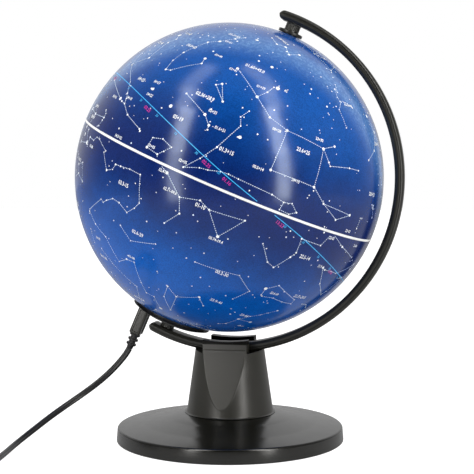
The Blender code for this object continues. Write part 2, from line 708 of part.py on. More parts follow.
def build_far_plug(rubber):
    """The full-size plug at the lead's far end, lying flat beside the coil."""
    x, z = USB_A_LINE
    body_length = 24 * MM
    body_end = USB_A_START + body_length
    middle = (x, USB_A_START + body_length / 2, z)
    block("usb_a_overmould", (15.6 * MM, body_length, 7.8 * MM), middle, rubber, bevel=1.0 * MM)
    metal = finish_material("usb_a_metal", (0.68, 0.68, 0.66), 0.25, 1)
    shell_low = body_end + GAP
    shell_length = 12 * MM
    shell_middle = (x, shell_low + shell_length / 2, z)
    shell = block("usb_a_shell", (12 * MM, shell_length, 4.5 * MM), shell_middle, metal)
    opening = (x, shell_low + shell_length / 2 + 0.8 * MM, z)
    combine(shell, block("usb_a_opening", (11.2 * MM, shell_length, 3.7 * MM), opening, metal))
    white = finish_material("usb_a_insert", (0.75, 0.75, 0.73), 0.45)
    insert_middle = (x, shell_low + shell_length / 2 + 0.2 * MM, z - 0.7 * MM)
    block("usb_a_insert", (10.4 * MM, shell_length - 2 * MM, 1.6 * MM), insert_middle, white)


def build():
    clear_scene()
    polar = axis_empty("polar_axis")
    spin = axis_empty("globe_spin_axis")
    build_base()
    build_neck()
    build_arm(polar)
    build_globe(spin)
    build_cap(polar)
    build_lamp(polar)
    build_plug(polar)
    build_lead()


build()
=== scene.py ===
"""Looks of the desk celestial globe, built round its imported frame. Metres, +Z up."""

from math import acos, asin, atan2, cos, degrees, exp, pi, radians, sin, sqrt, tanh
from random import Random

import bmesh
import bpy
from mathutils import Matrix, Vector


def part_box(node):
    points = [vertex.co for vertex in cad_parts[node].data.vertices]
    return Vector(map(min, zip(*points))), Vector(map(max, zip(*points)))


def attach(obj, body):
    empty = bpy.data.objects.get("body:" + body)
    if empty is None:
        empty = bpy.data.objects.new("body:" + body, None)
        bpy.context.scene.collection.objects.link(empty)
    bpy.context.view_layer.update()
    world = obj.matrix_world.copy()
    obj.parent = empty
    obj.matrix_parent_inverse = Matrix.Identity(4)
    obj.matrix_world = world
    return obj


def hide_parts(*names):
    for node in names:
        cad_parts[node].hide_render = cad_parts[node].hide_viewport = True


MM = 0.001
CORNERS = ((-1, -1), (1, -1), (1, 1), (-1, 1))

# The frame's driving sizes
GLOBE_RADIUS = 100 * MM
GLOBE_CENTRE = Vector((0, 0, 171.4)) * MM
POLAR_TILT = radians(23.45)
POLAR_FRAME = Matrix.Translation(GLOBE_CENTRE) @ Matrix.Rotation(POLAR_TILT, 4, "Y")

# Sizes of the stand
BASE_RADIUS = 74.5 * MM
BASE_RIM_RADIUS = 73.8 * MM
BASE_RIM_HEIGHT = 9.4 * MM
BASE_TOP = 18.1 * MM
NECK_FOOT = 18.4 * MM
NECK_FOOT_RADIUS = 28.4 * MM
NECK_TOP_RADIUS = 22.9 * MM
NECK_TOP = 57.6 * MM
JAW_HALF_LENGTH = 14.6 * MM
JAW_OUTER = 15.8 * MM
JAW_INNER = 8.5 * MM
JAW_TOP = 67.0 * MM
JAW_ARC = 105.3 * MM
FACET_TIP = 23.5 * MM
FACET_TIP_OUT = 27.66 * MM
FACET_SEAM = 60.6 * MM
FOOT_ROUND = 1.2 * MM
TONGUE_STEP = 0.3 * MM
ARM_INNER = 107.5 * MM
ARM_OUTER = 113.4 * MM
ARM_WIDTH = 12.0 * MM
ARM_OVERRUN = 7.5 * MM
POST_END = 107.1 * MM

# Lamp cap and plug, along the polar axis
CAP_RADIUS = 26.75 * MM
CAP_FACE = -100.2 * MM
CAP_BACK = -101.2 * MM
CAP_RIM = -98.5 * MM
PLUG_OFFSET = -18.0 * MM
PLUG_DEPTH = 7.3 * MM
PLUG_WIDTH = 10.0 * MM
PLUG_TOP = -101.5 * MM
PLUG_END = -120.2 * MM
RELIEF_TOP = -120.5 * MM
RELIEF_LENGTH = 10.8 * MM

# Sizes of the lead
CORE_RADIUS = 1.28 * MM
CORE_OFFSET = 0.8 * MM
COIL_CENTRE = Vector((-152.5, -97.0, 0)) * MM

# Print: the right ascension, in hours, that faces -Y, and the height of marks over the shell
FRONT_HOUR = 1.73
PRINT_LIFT = 0.04 * MM

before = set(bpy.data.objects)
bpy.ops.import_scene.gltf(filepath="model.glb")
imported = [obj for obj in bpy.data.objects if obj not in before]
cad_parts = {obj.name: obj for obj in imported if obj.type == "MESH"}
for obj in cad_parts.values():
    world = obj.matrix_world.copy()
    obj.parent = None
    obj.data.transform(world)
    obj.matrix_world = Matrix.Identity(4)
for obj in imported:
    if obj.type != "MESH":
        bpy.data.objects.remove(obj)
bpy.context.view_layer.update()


def linked(name, data):
    """A new object of the given data, in the scene."""
    obj = bpy.data.objects.new(name, data)
    bpy.context.scene.collection.objects.link(obj)
    return obj


def rows(text, units=(1, 1, 1)):
    """The rows of a table parted by commas, as numbers, each in its column's unit."""
    return [tuple(float(word) / unit for word, unit in zip(row.split(), units)) for row in text.split(",")]


def route(text):
    """Points along a path, from a table in millimetres."""
    return [Vector(row) * MM for row in rows(text)]


# Camera

VIEW_AZIMUTH = 0.20727


def make_camera():
    """A short telephoto a little to the right of the front, level with the ball's centre."""
    distance = 755.75 * MM
    height = 169.19 * MM
    yaw, pitch, roll = -0.006407, 0.047845, -0.002498
    focal = 1156.2
    picture = 474
    heading = VIEW_AZIMUTH + yaw
    ahead = Vector((-sin(heading) * cos(pitch), cos(heading) * cos(pitch), -sin(pitch)))
    level = Vector((cos(heading), sin(heading), 0))
    upward = level.cross(ahead)
    right = level * cos(roll) + upward * sin(roll)
    top = upward * cos(roll) - level * sin(roll)
    data = bpy.data.cameras.new("camera")
    data.sensor_width = 36.0
    data.lens = focal / picture * data.sensor_width
    data.clip_start = 0.01
    camera = linked("camera", data)
    place = Vector((distance * sin(VIEW_AZIMUTH), -distance * cos(VIEW_AZIMUTH), height))
    camera.matrix_world = Matrix.Translation(place) @ Matrix((right, top, -ahead)).transposed().to_4x4()
    bpy.context.scene.camera = camera


# Materials

NECK_COLOUR = (0.0145, 0.014, 0.0108)
SKY_NAVY = (0.002, 0.0135, 0.105)
SKY_NORTH = (0.003, 0.065, 0.3)
SKY_SOUTH = (0.001, 0.095, 0.45)
SKY_MILK = (0.13, 0.27, 0.54)
SKY_DARK_SHIFT = 0.02
MILK_SHIFT = 0.075
SKY_GLOSS = 0.17
SKY_LACQUER = (0.75, 0.84, 1.0)


def feed(made, inputs):
    """Sets a node's inputs: each is a value, or the socket that feeds it."""
    for key, value in inputs.items():
        if isinstance(value, bpy.types.NodeSocket):
            made.id_data.links.new(value, made.inputs[key])
        else:
            made.inputs[key].default_value = value
    return made


def node(tree, kind, inputs=None, **settings):
    """A shader node with its settings and inputs."""
    made = tree.nodes.new(kind)
    for key, value in settings.items():
        setattr(made, key, value)
    return feed(made, inputs or {})


def math(tree, operation, first, second=0.0, clamp=False):
    inputs = {0: first, 1: second}
    return node(tree, "ShaderNodeMath", inputs, operation=operation, use_clamp=clamp).outputs[0]


def product(tree, first, *others):
    for other in others:
        first = math(tree, "MULTIPLY", first, other)
    return first


def vectors(tree, operation, inputs, output=0):
    return node(tree, "ShaderNodeVectorMath", inputs, operation=operation).outputs[output]


def axes(tree, vector):
    """A vector's parts along X, Y and Z."""
    return node(tree, "ShaderNodeSeparateXYZ", {0: vector}).outputs


def noise(tree, vector, scale, detail=2.0, roughness=0.5):
    inputs = {"Vector": vector, "Scale": scale, "Detail": detail, "Roughness": roughness}
    return node(tree, "ShaderNodeTexNoise", inputs).outputs["Fac"]


def ramp(tree, value, low, high, start=0.0, end=1.0, smooth=True):
    kind = "SMOOTHSTEP" if smooth else "LINEAR"
    inputs = {"Value": value, "From Min": low, "From Max": high, "To Min": start, "To Max": end}
    return node(tree, "ShaderNodeMapRange", inputs, interpolation_type=kind).outputs["Result"]


def mix(tree, factor, first, second):
    return node(tree, "ShaderNodeMix", {0: factor, 6: first, 7: second}, data_type="RGBA").outputs[2]


def blank(name):
    made = bpy.data.materials.new(name)
    made.use_nodes = True
    return made, made.node_tree, made.node_tree.nodes["Principled BSDF"]


def object_place(tree):
    return node(tree, "ShaderNodeTexCoord").outputs["Object"]


def polar_place(tree):
    """A point's place in the globe's own frame, with its centre at zero and its pole along Z."""
    inputs = {"Vector": object_place(tree), "Center": GLOBE_CENTRE, "Angle": -POLAR_TILT}
    turned_back = node(tree, "ShaderNodeVectorRotate", inputs, rotation_type="Y_AXIS").outputs[0]
    return vectors(tree, "SUBTRACT", {0: turned_back, 1: GLOBE_CENTRE})


def moulded(name, colour, roughness, grain=0.35 * MM, depth=0.012 * MM, drift=0.06, metallic=0.0, ior=1.5):
    """A moulded or plated surface: fine grain, with slow changes of gloss and tone."""
    made, tree, shader = blank(name)
    place = object_place(tree)
    slow = noise(tree, place, 45.0, 3.0)
    cloudy = noise(tree, place, 160.0, 4.0, 0.65)
    grainy = noise(tree, place, 1.0 / grain, 2.0, 0.6)
    tone = math(tree, "ADD", product(tree, slow, 0.22), product(tree, cloudy, 0.14))
    bright = ramp(tree, tone, 0.1, 0.28, 0.82, 1.2, smooth=False)
    bump = node(tree, "ShaderNodeBump", {"Strength": 0.6, "Distance": depth, "Height": grainy})
    feed(shader, {
        "Base Color": vectors(tree, "SCALE", {0: colour, "Scale": bright}),
        "Roughness": math(tree, "ADD", roughness - drift, product(tree, cloudy, 2 * drift)),
        "Normal": bump.outputs["Normal"],
        "Metallic": metallic,
        "IOR": ior,
    })
    return made


def shaded_neck_plastic():
    """Textured black plastic with painted shade: darker and less shiny on the jaws' top edges, their inner
    sides and the shoulder under the arm, and darker towards the top of each facet.
    """
    made = moulded("neck_black", NECK_COLOUR, 0.36, grain=0.5 * MM, depth=0.015 * MM, ior=1.6)
    tree = made.node_tree
    shader = tree.nodes["Principled BSDF"]
    along, across, height = axes(tree, object_place(tree))
    outward, upward = axes(tree, node(tree, "ShaderNodeNewGeometry").outputs["Normal"])[1:]
    # Painted shade: the jaws' top edges, their inner sides and the shoulder under the arm are darkened and
    # made less shiny, as if in shadow.
    band = ramp(tree, height, JAW_TOP - 2.6 * MM, JAW_TOP - 2.4 * MM)
    top = product(tree, band, ramp(tree, upward, 0.93, 0.8))
    inner = product(
        tree,
        ramp(tree, math(tree, "ABSOLUTE", across), JAW_INNER + 0.3 * MM, JAW_INNER + 0.1 * MM),
        ramp(tree, math(tree, "ABSOLUTE", along), JAW_HALF_LENGTH + 0.3 * MM, JAW_HALF_LENGTH),
        ramp(tree, height, BASE_TOP + 30 * MM, BASE_TOP + 31 * MM),
    )
    shoulder = product(
        tree,
        ramp(tree, upward, 0.3, 0.5),
        ramp(tree, height, NECK_TOP + 2 * MM, NECK_TOP + 1 * MM),
        ramp(tree, height, 50 * MM, 51 * MM),
    )
    painted_shade = math(tree, "MAXIMUM", math(tree, "MAXIMUM", top, inner), shoulder)
    # Painted shade: the flat facets darken towards their tops, where the arm and the ball shade them.
    flat = ramp(tree, math(tree, "ABSOLUTE", outward), 0.97, 0.99)
    smooth = product(tree, flat, ramp(tree, height, FACET_TIP, FACET_SEAM), 0.45)
    facet_unshaded = math(tree, "SUBTRACT", 1.0, smooth)
    cover = math(tree, "SUBTRACT", facet_unshaded, product(tree, painted_shade, 0.85), clamp=True)
    colour = shader.inputs["Base Color"].links[0].from_socket
    toned = vectors(tree, "SCALE", {0: colour, "Scale": cover})
    feed(shader, {"Base Color": toned, "Specular IOR Level": product(tree, cover, 0.5)})
    return made


def ink(name, colour):
    """Printed ink: flat colour with slightly uneven cover."""
    made, tree, shader = blank(name)
    wear = 0.12
    faded = tuple(channel * (1 - wear) for channel in colour)
    uneven = ramp(tree, noise(tree, object_place(tree), 900.0, 2.0), 0.35, 0.6)
    feed(shader, {"Base Color": mix(tree, uneven, (*faded, 1), (*colour, 1)), "Roughness": 0.35})
    return made


def galactic_pole():
    """The Milky Way's pole on the print, in the globe's own frame."""
    return sky_point(12.857, 27.13)


def sky_print():
    """The printed sky: navy along the equator, clearer blue either side, and the Milky Way's pale haze."""
    made, tree, shader = blank("sky_print")
    place = polar_place(tree)
    facing = vectors(tree, "NORMALIZE", {0: place})
    height = axes(tree, facing)[2]
    cloud = noise(tree, place, 22.0, 4.0, 0.55)
    fine = noise(tree, place, 140.0, 3.0, 0.6)
    speck = noise(tree, place, 1300.0, 2.0, 0.6)
    drift = product(tree, math(tree, "SUBTRACT", cloud, 0.5), 0.34)
    away = math(tree, "ABSOLUTE", math(tree, "ADD", height, SKY_DARK_SHIFT))
    clear = ramp(tree, math(tree, "ADD", away, drift), 0.05, 0.7)
    half = mix(tree, ramp(tree, height, -0.1, 0.1), (*SKY_SOUTH, 1), (*SKY_NORTH, 1))
    blue = mix(tree, clear, (*SKY_NAVY, 1), half)
    tone = math(tree, "ADD", ramp(tree, fine, 0.3, 0.7, -0.06, 0.06), ramp(tree, speck, 0.3, 0.7, -0.2, 0.2))
    blue = vectors(tree, "SCALE", {0: blue, "Scale": math(tree, "ADD", tone, 1.0)})
    latitude = vectors(tree, "DOT_PRODUCT", {0: facing, 1: galactic_pole()}, "Value")
    latitude = math(tree, "ADD", latitude, MILK_SHIFT)
    ragged = product(tree, math(tree, "SUBTRACT", noise(tree, place, 38.0, 5.0, 0.6), 0.5), 0.34)
    off = math(tree, "ABSOLUTE", math(tree, "ADD", latitude, product(tree, ragged, 0.6)))
    haze = ramp(tree, math(tree, "ADD", off, product(tree, ragged, 0.5)), 0.22, 0.0)
    dust = ramp(tree, noise(tree, place, 520.0, 3.0, 0.7), 0.42, 0.72)
    milk = math(tree, "MULTIPLY", haze, math(tree, "ADD", product(tree, dust, 0.6), 0.4), clamp=True)
    peel = noise(tree, place, 230.0, 2.0)
    bump = node(tree, "ShaderNodeBump", {"Strength": 0.25, "Distance": 0.02 * MM, "Height": peel})
    uneven = noise(tree, place, 60.0, 2.0)
    feed(shader, {
        "Base Color": mix(tree, milk, blue, (*SKY_MILK, 1)),
        "Roughness": ramp(tree, uneven, 0.3, 0.7, SKY_GLOSS - 0.015, SKY_GLOSS + 0.02),
        "Specular Tint": (*SKY_LACQUER, 1),
        "Normal": bump.outputs["Normal"],
    })
    return made


# Mesh helpers


def piece(name, bm, material, body="stand", place=None, stands_for=(), sharp=35):
    """Finishes a mesh as a piece: recalculated normals, smooth shading, material, body and nodes."""
    if place:
        bmesh.ops.transform(bm, matrix=place, verts=bm.verts)
    bmesh.ops.recalc_face_normals(bm, faces=bm.faces)
    mesh = bpy.data.meshes.new(name)
    bm.to_mesh(mesh)
    bm.free()
    mesh.shade_smooth()
    if sharp:
        mesh.set_sharp_from_angle(angle=radians(sharp))
    mesh.materials.append(material)
    obj = linked(name, mesh)
    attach(obj, body)
    if stands_for:
        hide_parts(*stands_for)
    return obj


def filleted(points, steps=5):
    """An outline of (across, up, radius) corners with each corner rounded to its radius."""
    made = []
    count = len(points)
    nearly_straight = radians(89)
    for index, (x, y, radius) in enumerate(points):
        here = Vector((x, y))
        if not radius:
            made.append(here)
            continue
        before = (Vector(points[index - 1][:2]) - here).normalized()
        after = (Vector(points[(index + 1) % count][:2]) - here).normalized()
        half = before.angle(after) / 2
        if half > nearly_straight:
            made.append(here)
            continue
        reach = radius / (sin(half) / cos(half))
        start, end = here + before * reach, here + after * reach
        centre = here + (before + after).normalized() * (radius / sin(half))
        first = start - centre
        last = end - centre
        turn = first.angle_signed(last)
        for step in range(steps + 1):
            made.append(centre + Matrix.Rotation(-turn * step / steps, 2) @ first)
    return made


def skin(bm, low, high):
    """Faces between two rings of corners, either of which may be a single corner."""
    count = max(len(low), len(high))
    for i in range(count):
        j = (i + 1) % count
        if len(low) < len(high):
            bm.faces.new((low[0], high[i], high[j]))
        elif len(low) > len(high):
            bm.faces.new((low[i], low[j], high[0]))
        elif count > 1:
            bm.faces.new((low[i], low[j], high[j], high[i]))


def turned(outline, segments=128, loop=True):
    """An outline of (radius, height) points spun about Z. A point on the axis closes the end."""
    bm = bmesh.new()
    rings = []
    turn = 2 * pi / segments
    for radius, height in outline:
        ring = [(0, 0, height)]
        if abs(radius) > 1e-9:
            ring = [(radius * cos(turn * i), radius * sin(turn * i), height) for i in range(segments)]
        rings.append([bm.verts.new(point) for point in ring])
    if loop:
        rings.append(rings[0])
    for low, high in zip(rings, rings[1:]):
        skin(bm, low, high)
    return bm


def arc(radius, start, end, count, centre=(0, 0)):
    angles = [start + (end - start) * i / (count - 1) for i in range(count)]
    return [Vector((centre[0] + radius * cos(a), centre[1] + radius * sin(a))) for a in angles]


def rounded_block(size, bevel, segments=4):
    bm = bmesh.new()
    bmesh.ops.create_cube(bm, size=1)
    bmesh.ops.scale(bm, vec=size, verts=bm.verts)
    bmesh.ops.bevel(bm, geom=bm.edges, offset=bevel, segments=segments, affect="EDGES", profile=0.5)
    return bm


def lofted(sections, closed_ends=True):
    """Skins a list of rings of points, each with the same count."""
    bm = bmesh.new()
    rings = [[bm.verts.new(point) for point in section] for section in sections]
    for low, high in zip(rings, rings[1:]):
        skin(bm, low, high)
    if closed_ends:
        bm.faces.new(rings[0])
        bm.faces.new(rings[-1])
    return bm


def smooth_route(points, step):
    """Evenly spaced points on a smooth curve through the given ones."""
    ends = [2 * points[0] - points[1], *points, 2 * points[-1] - points[-2]]
    per_span = 24
    dense = []
    for before, start, end, after in zip(ends, ends[1:], ends[2:], ends[3:]):
        for i in range(per_span):
            t = i / per_span
            curve = 2 * start + (end - before) * t
            curve += (2 * before - 5 * start + 4 * end - after) * t**2
            curve += (3 * start - before - 3 * end + after) * t**3
            dense.append(0.5 * curve)
    dense.append(points[-1])
    total = path_length(dense)
    count = max(2, round(total / step))
    even = [dense[0]]
    travelled = 0.0
    for a, b in zip(dense, dense[1:]):
        travelled += (b - a).length
        if travelled >= total * len(even) / count and len(even) < count:
            even.append(b)
    return [*even, dense[-1]]


def path_length(points):
    return sum((b - a).length for a, b in zip(points, points[1:]))


# Lead

# Points in millimetres: down from the plug to the table, and on from the coil to the far plug
LEAD_ROUTE = route(
    "-71.2 0 54, -74.2 -0.1 49.9, -77.7 -0.4 45.8, -81.8 -1 41.7, -86.2 -2 37.7, -90.2 -3.4 34, -95 -5.9 "
    "30.5, -99.6 -9 27, -103.9 -12.7 24, -107.9 -17.1 20.9, -111.8 -22 18.1, -115.4 -27.4 15.2, -118.6 "
    "-33.3 12.1, -121.7 -39.6 9.1, -124.4 -46.5 6.5, -126.5 -54.2 4.2, -127.2 -60.4 3.1, -126.9 -67.2 "
    "2.4, -126.2 -75 2.15, -125.2 -83.7 2.1, -124.5 -92 2.1"
)
TAIL_ROUTE = route(
    "-175.2 -91 5.75, -175.2 -86 5.6, -175.2 -80.6 4.9, -175.2 -76 4.4, -175.2 -71.4 4.2"
)


def coil_path():
    """From the lead's last point into the coil: in along the bottom, up, out along the top, and off."""
    first = LEAD_ROUTE[-1] - COIL_CENTRE
    low, high = 2.1 * MM, 5.85 * MM
    start = degrees(atan2(first.y, first.x))
    # Angle in degrees, radius and height at the start of each stage
    stages = [
        (start, sqrt(first.x**2 + first.y**2), first.z),
        (-50, 24.5 * MM, low),
        (-50 - 1080, 13.7 * MM, low),
        (-50 - 1130, 14.9 * MM, high),
        (-1980, 22.7 * MM, high),
    ]
    points = []
    for (a0, r0, z0), (a1, r1, z1) in zip(stages, stages[1:]):
        count = max(6, round((a0 - a1) / 9))
        for i in range(1, count + 1):
            t = i / count
            ease = t * t * (3 - 2 * t)
            angle = radians(a0 + (a1 - a0) * t)
            radius = r0 + (r1 - r0) * t
            lift = z0 + (z1 - z0) * ease
            points.append(COIL_CENTRE + Vector((radius * cos(angle), radius * sin(angle), lift)))
    return points


def relaxed(points, passes):
    """The same points with small kinks evened out; the first two and the last stay put."""
    for _ in range(passes):
        inner = [(a + 2 * b + c) / 4 for a, b, c in zip(points[1:], points[2:], points[3:])]
        points = [*points[:2], *inner, points[-1]]
    return points


def straight_spans(name, points, closed=False):
    """A curve of straight spans through the given points, shaded smooth."""
    curve = bpy.data.curves.new(name, "CURVE")
    curve.dimensions = "2D" if closed else "3D"
    spline = curve.splines.new("POLY")
    spline.points.add(len(points) - 1)
    for slot, point in zip(spline.points, points):
        slot.co = (*point, 1)
    spline.use_cyclic_u = closed
    spline.use_smooth = True
    return curve


def twin_section():
    """The cable's section: two round cores side by side under one sheath, with a groove between."""
    waist = sqrt(CORE_RADIUS**2 - CORE_OFFSET**2)
    reach = atan2(waist, -CORE_OFFSET)
    count = 14
    points = []
    for side in (1, -1):
        for i in range(count):
            angle = -reach + 2 * reach * (i + 0.5) / count
            across = CORE_OFFSET + CORE_RADIUS * cos(angle)
            points.append((side * CORE_RADIUS * sin(angle), side * across, 0))
    section = straight_spans("cable_section", points, closed=True)
    section.fill_mode = "NONE"
    return bpy.data.objects.new("cable_section", section)


def make_lead():
    """The whole lead as one cord: down to the table, forward, into its coil, and on to the far plug."""
    down = -Vector((sin(POLAR_TILT), 0, cos(POLAR_TILT)))
    across = Vector((cos(POLAR_TILT), 0, -sin(POLAR_TILT)))
    exit_point = GLOBE_CENTRE + down * (-RELIEF_TOP + RELIEF_LENGTH + 0.3 * MM) + across * PLUG_OFFSET
    hanging = smooth_route(relaxed([exit_point, *LEAD_ROUTE], 3), 2.5 * MM)
    coil = coil_path()
    tail = smooth_route([coil[-1], *TAIL_ROUTE], 2.5 * MM)
    points = [*hanging, *coil, *tail[1:]]
    curve = straight_spans("lead_cable", points)
    curve.bevel_mode = "OBJECT"
    curve.bevel_object = twin_section()
    curve.twist_mode = "Z_UP"
    curve.use_fill_caps = True
    curve.materials.append(moulded("cable_sheath", (0.012, 0.012, 0.013), 0.33, grain=0.5 * MM, drift=0.05))
    cable = linked("lead_cable", curve)
    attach(cable, "stand")
    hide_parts("cable", "cable_coil", "cable_tail")
    return cable, exit_point, path_length(points)


def relief_piece(rubber):
    """The small plug's strain relief: a core with three thin discs round it, tapering to the cable."""
    outline = [(0, 0, 0)]
    core = 2.3 * MM
    pitch = 3.4 * MM
    for index in range(3):
        outer = (3.6 - 0.1 * index) * MM
        top = -index * pitch
        edge = 0.25 * MM
        outline += [(outer, top, edge), (outer, top - 1.3 * MM, edge), (core, top - 1.3 * MM, edge)]
        if index < 2:
            outline.append((core, top - pitch, edge))
    outline += [(core - 0.3 * MM, -RELIEF_LENGTH, 0.3 * MM), (0, -RELIEF_LENGTH, 0)]
    place = POLAR_FRAME @ Matrix.Translation((PLUG_OFFSET, 0, RELIEF_TOP))
    bm = turned(filleted(outline, 3), 48, loop=False)
    return piece("relief_discs", bm, rubber, place=place, stands_for=["strain_relief"])


def plug_piece(rubber):
    """The small plug: a rounded block whose wide sides carry a shallow grip panel."""
    length = PLUG_TOP - PLUG_END
    bm = rounded_block((PLUG_DEPTH, PLUG_WIDTH, length), 0.9 * MM, 3)
    bm.normal_update()
    sides = [face for face in bm.faces if face.calc_area() > 60 * MM * MM and abs(face.normal.z) < 0.1]
    for face in sides:
        bmesh.ops.inset_region(bm, faces=[face], thickness=0.75 * MM, use_even_offset=True)
        bmesh.ops.inset_region(bm, faces=[face], thickness=0.25 * MM, depth=-0.6 * MM, use_even_offset=True)
    place = POLAR_FRAME @ Matrix.Translation((PLUG_OFFSET, 0, (PLUG_TOP + PLUG_END) / 2))
    return piece("lead_plug", bm, rubber, place=place, stands_for=["plug_body"], sharp=50)


def tie_piece():
    """The strap round the coil: a flat band bent round the turns, with its buckle on top."""
    low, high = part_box("coil_tie")
    middle = (low + high) / 2
    half, wide, tall = (high - low) / 2
    wall = 0.55 * MM
    soft = 0.15 * MM
    outer = filleted([(x * wide, z * tall, 1.6 * MM) for x, z in CORNERS])
    inner = filleted([(x * (wide - wall), z * (tall - wall), 1.05 * MM) for x, z in CORNERS])
    sections = []
    for a, b in zip(outer, inner):
        edge = a - (a - b).normalized() * soft
        ring = [(-half, b), (-half, edge), (-half + soft, a), (half - soft, a), (half, edge), (half, b)]
        sections.append([Vector((x, p.x, p.y)) + middle for x, p in ring])
    bm = lofted([*sections, sections[0]], closed_ends=False)
    bmesh.ops.remove_doubles(bm, verts=bm.verts, dist=1e-6)
    black = moulded("tie_strap_plastic", (0.02, 0.02, 0.021), 0.4)
    tie = piece("coil_strap", bm, black, stands_for=["coil_tie"])
    buckle = rounded_block((2 * half + 1.4 * MM, 4.2 * MM, 1.3 * MM), 0.3 * MM, 2)
    top = Matrix.Translation((middle.x, middle.y + 2 * MM, high.z + 0.2 * MM))
    return tie, piece("coil_strap_buckle", buckle, black, place=top)


def far_plug_piece(rubber):
    """The USB-A plug's moulded grip: rounded, waisted towards the cable, with ridges on both faces."""
    low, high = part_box("usb_a_overmould")
    middle = (low + high) / 2
    half = (high - low) / 2
    sections = []
    steps = 48
    for i in range(steps + 1):
        t = i / steps
        neck = max(0.0, 1 - t / 0.3) ** 2
        edge = 1 - 0.08 * (max(0.0, 1 - min(t, 1 - t) / 0.03)) ** 2
        ridge = 0.25 * MM * max(0.0, sin((t - 0.35) * 2 * pi * 9)) if 0.35 < t < 0.8 else 0.0
        wide = half.x * (1 - 0.3 * neck) * edge
        tall = half.z * (1 - 0.45 * neck) * edge - ridge
        corner = min(wide, tall) * 0.45
        ring = filleted([(x * wide, z * tall, corner) for x, z in ((1, 1), (-1, 1), (-1, -1), (1, -1))], 4)
        along = low.y + (high.y - low.y) * t
        sections.append([Vector((middle.x + p.x, along, middle.z + p.y)) for p in ring])
    bm = lofted(sections)
    return piece("far_plug_grip", bm, rubber, stands_for=["usb_a_overmould"], sharp=50)


# Stand


def base_piece(plastic):
    """The round foot's shell: short side, rounded rim and a top that rises gently to the neck."""
    outline = [
        (20 * MM, BASE_TOP, 0),
        (30.0 * MM, BASE_TOP, 0),
        (40 * MM, BASE_TOP - 2.8 * MM, 30 * MM),
        (56 * MM, BASE_TOP - 6.1 * MM, 60 * MM),
        (BASE_RIM_RADIUS, BASE_RIM_HEIGHT, 1.5 * MM),
        (BASE_RADIUS, 0.4 * MM, 0.6 * MM),
        (BASE_RADIUS - 2 * MM, 0.4 * MM, 0),
        (BASE_RADIUS - 2 * MM, BASE_RIM_HEIGHT - 2.4 * MM, 0),
        (20 * MM, BASE_TOP - 2.2 * MM, 0),
    ]
    bm = turned(filleted(outline, 8), 224)
    return piece("foot_shell", bm, plastic, stands_for=["base_shell"])


def neck_radius(angle, height):
    """The neck's radius at an angle and height: a cone with a flat tongue just proud on two sides."""
    share = (height - NECK_FOOT) / (NECK_TOP - NECK_FOOT)
    cone = NECK_FOOT_RADIUS + (NECK_TOP_RADIUS - NECK_FOOT_RADIUS) * share
    if height < NECK_FOOT + FOOT_ROUND:
        rise = (height - NECK_FOOT) / FOOT_ROUND
        cone += FOOT_ROUND * (1 - sqrt(max(0.0, 1 - (1 - rise) ** 2)))
    slope = (FACET_TIP_OUT - JAW_OUTER) / (JAW_TOP - FACET_TIP)
    seam = 0.12 * MM * exp(-(((height - FACET_SEAM) / (0.4 * MM)) ** 2))
    plane = JAW_OUTER + slope * (JAW_TOP - height) - seam
    flat = plane / max(abs(sin(angle)), 0.2)
    inside = min(1.0, max(0.0, (cone - flat) / (0.12 * MM)))
    return min(cone, flat) + TONGUE_STEP * inside * inside * (3 - 2 * inside)


def neck_piece(plastic):
    """The tapered neck: two tongue-shaped facets, the saddle under the arm, and the jaws that hold it."""
    segments = 480
    steps = 120
    summit = JAW_TOP + 1.5 * MM
    low = NECK_FOOT + FOOT_ROUND
    heights = [NECK_FOOT + FOOT_ROUND * i / 8 for i in range(8)]
    heights += [low + (summit - low) * i / steps for i in range(steps + 1)]
    angles = [2 * pi * i / segments for i in range(segments)]
    sections = []
    for height in heights:
        radii = [neck_radius(angle, height) for angle in angles]
        sections.append([(r * cos(angle), r * sin(angle), height) for r, angle in zip(radii, angles)])
    neck = piece("neck_column", lofted(sections), plastic, stands_for=["neck"], sharp=0)
    reach = 40 * MM
    dish = turned([(0, -reach), (JAW_ARC, -reach), (JAW_ARC, reach), (0, reach)], 512, loop=False)
    lying = Matrix.Translation(GLOBE_CENTRE) @ Matrix.Rotation(pi / 2, 4, "X")
    bmesh.ops.transform(dish, matrix=lying, verts=dish.verts)
    cut_away(neck, saddle_mesh(-reach, reach, JAW_INNER))
    cut_away(neck, saddle_mesh(-reach, -JAW_HALF_LENGTH, reach))
    cut_away(neck, saddle_mesh(JAW_HALF_LENGTH, reach, reach))
    cut_away(neck, dish)
    soften = neck.modifiers.new("edges", "BEVEL")
    soften.width = 1.0 * MM
    soften.segments = 4
    soften.limit_method = "ANGLE"
    soften.angle_limit = radians(48)
    bake_modifiers(neck)
    neck.data.set_sharp_from_angle(angle=radians(40))
    return neck


def saddle_mesh(start, end, half):
    """A block from one X to another whose underside follows the arm's outer face."""
    reach = ARM_OUTER + 0.2 * MM
    steps = 24
    outline = []
    for i in range(steps + 1):
        x = start + (end - start) * i / steps
        outline.append((x, GLOBE_CENTRE.z - sqrt(reach * reach - x * x)))
    top = JAW_TOP + 10 * MM
    outline += [(end, top), (start, top)]
    return lofted([[Vector((x, side * half, z)) for x, z in outline] for side in (-1, 1)])


def cut_away(obj, bm):
    """Subtracts a mesh from a piece and keeps the result as the piece's own mesh."""
    mesh = bpy.data.meshes.new("cutter")
    bmesh.ops.recalc_face_normals(bm, faces=bm.faces)
    bm.to_mesh(mesh)
    bm.free()
    cutter = linked("cutter", mesh)
    modifier = obj.modifiers.new("cut", "BOOLEAN")
    modifier.object = cutter
    modifier.solver = "EXACT"
    bake_modifiers(obj)
    bpy.data.objects.remove(cutter)


def bake_modifiers(obj):
    """Replaces a piece's mesh with what its modifiers make of it."""
    bpy.context.view_layer.update()
    evaluated = obj.evaluated_get(bpy.context.evaluated_depsgraph_get())
    mesh = bpy.data.meshes.new_from_object(evaluated)
    obj.modifiers.clear()
    obj.data = mesh


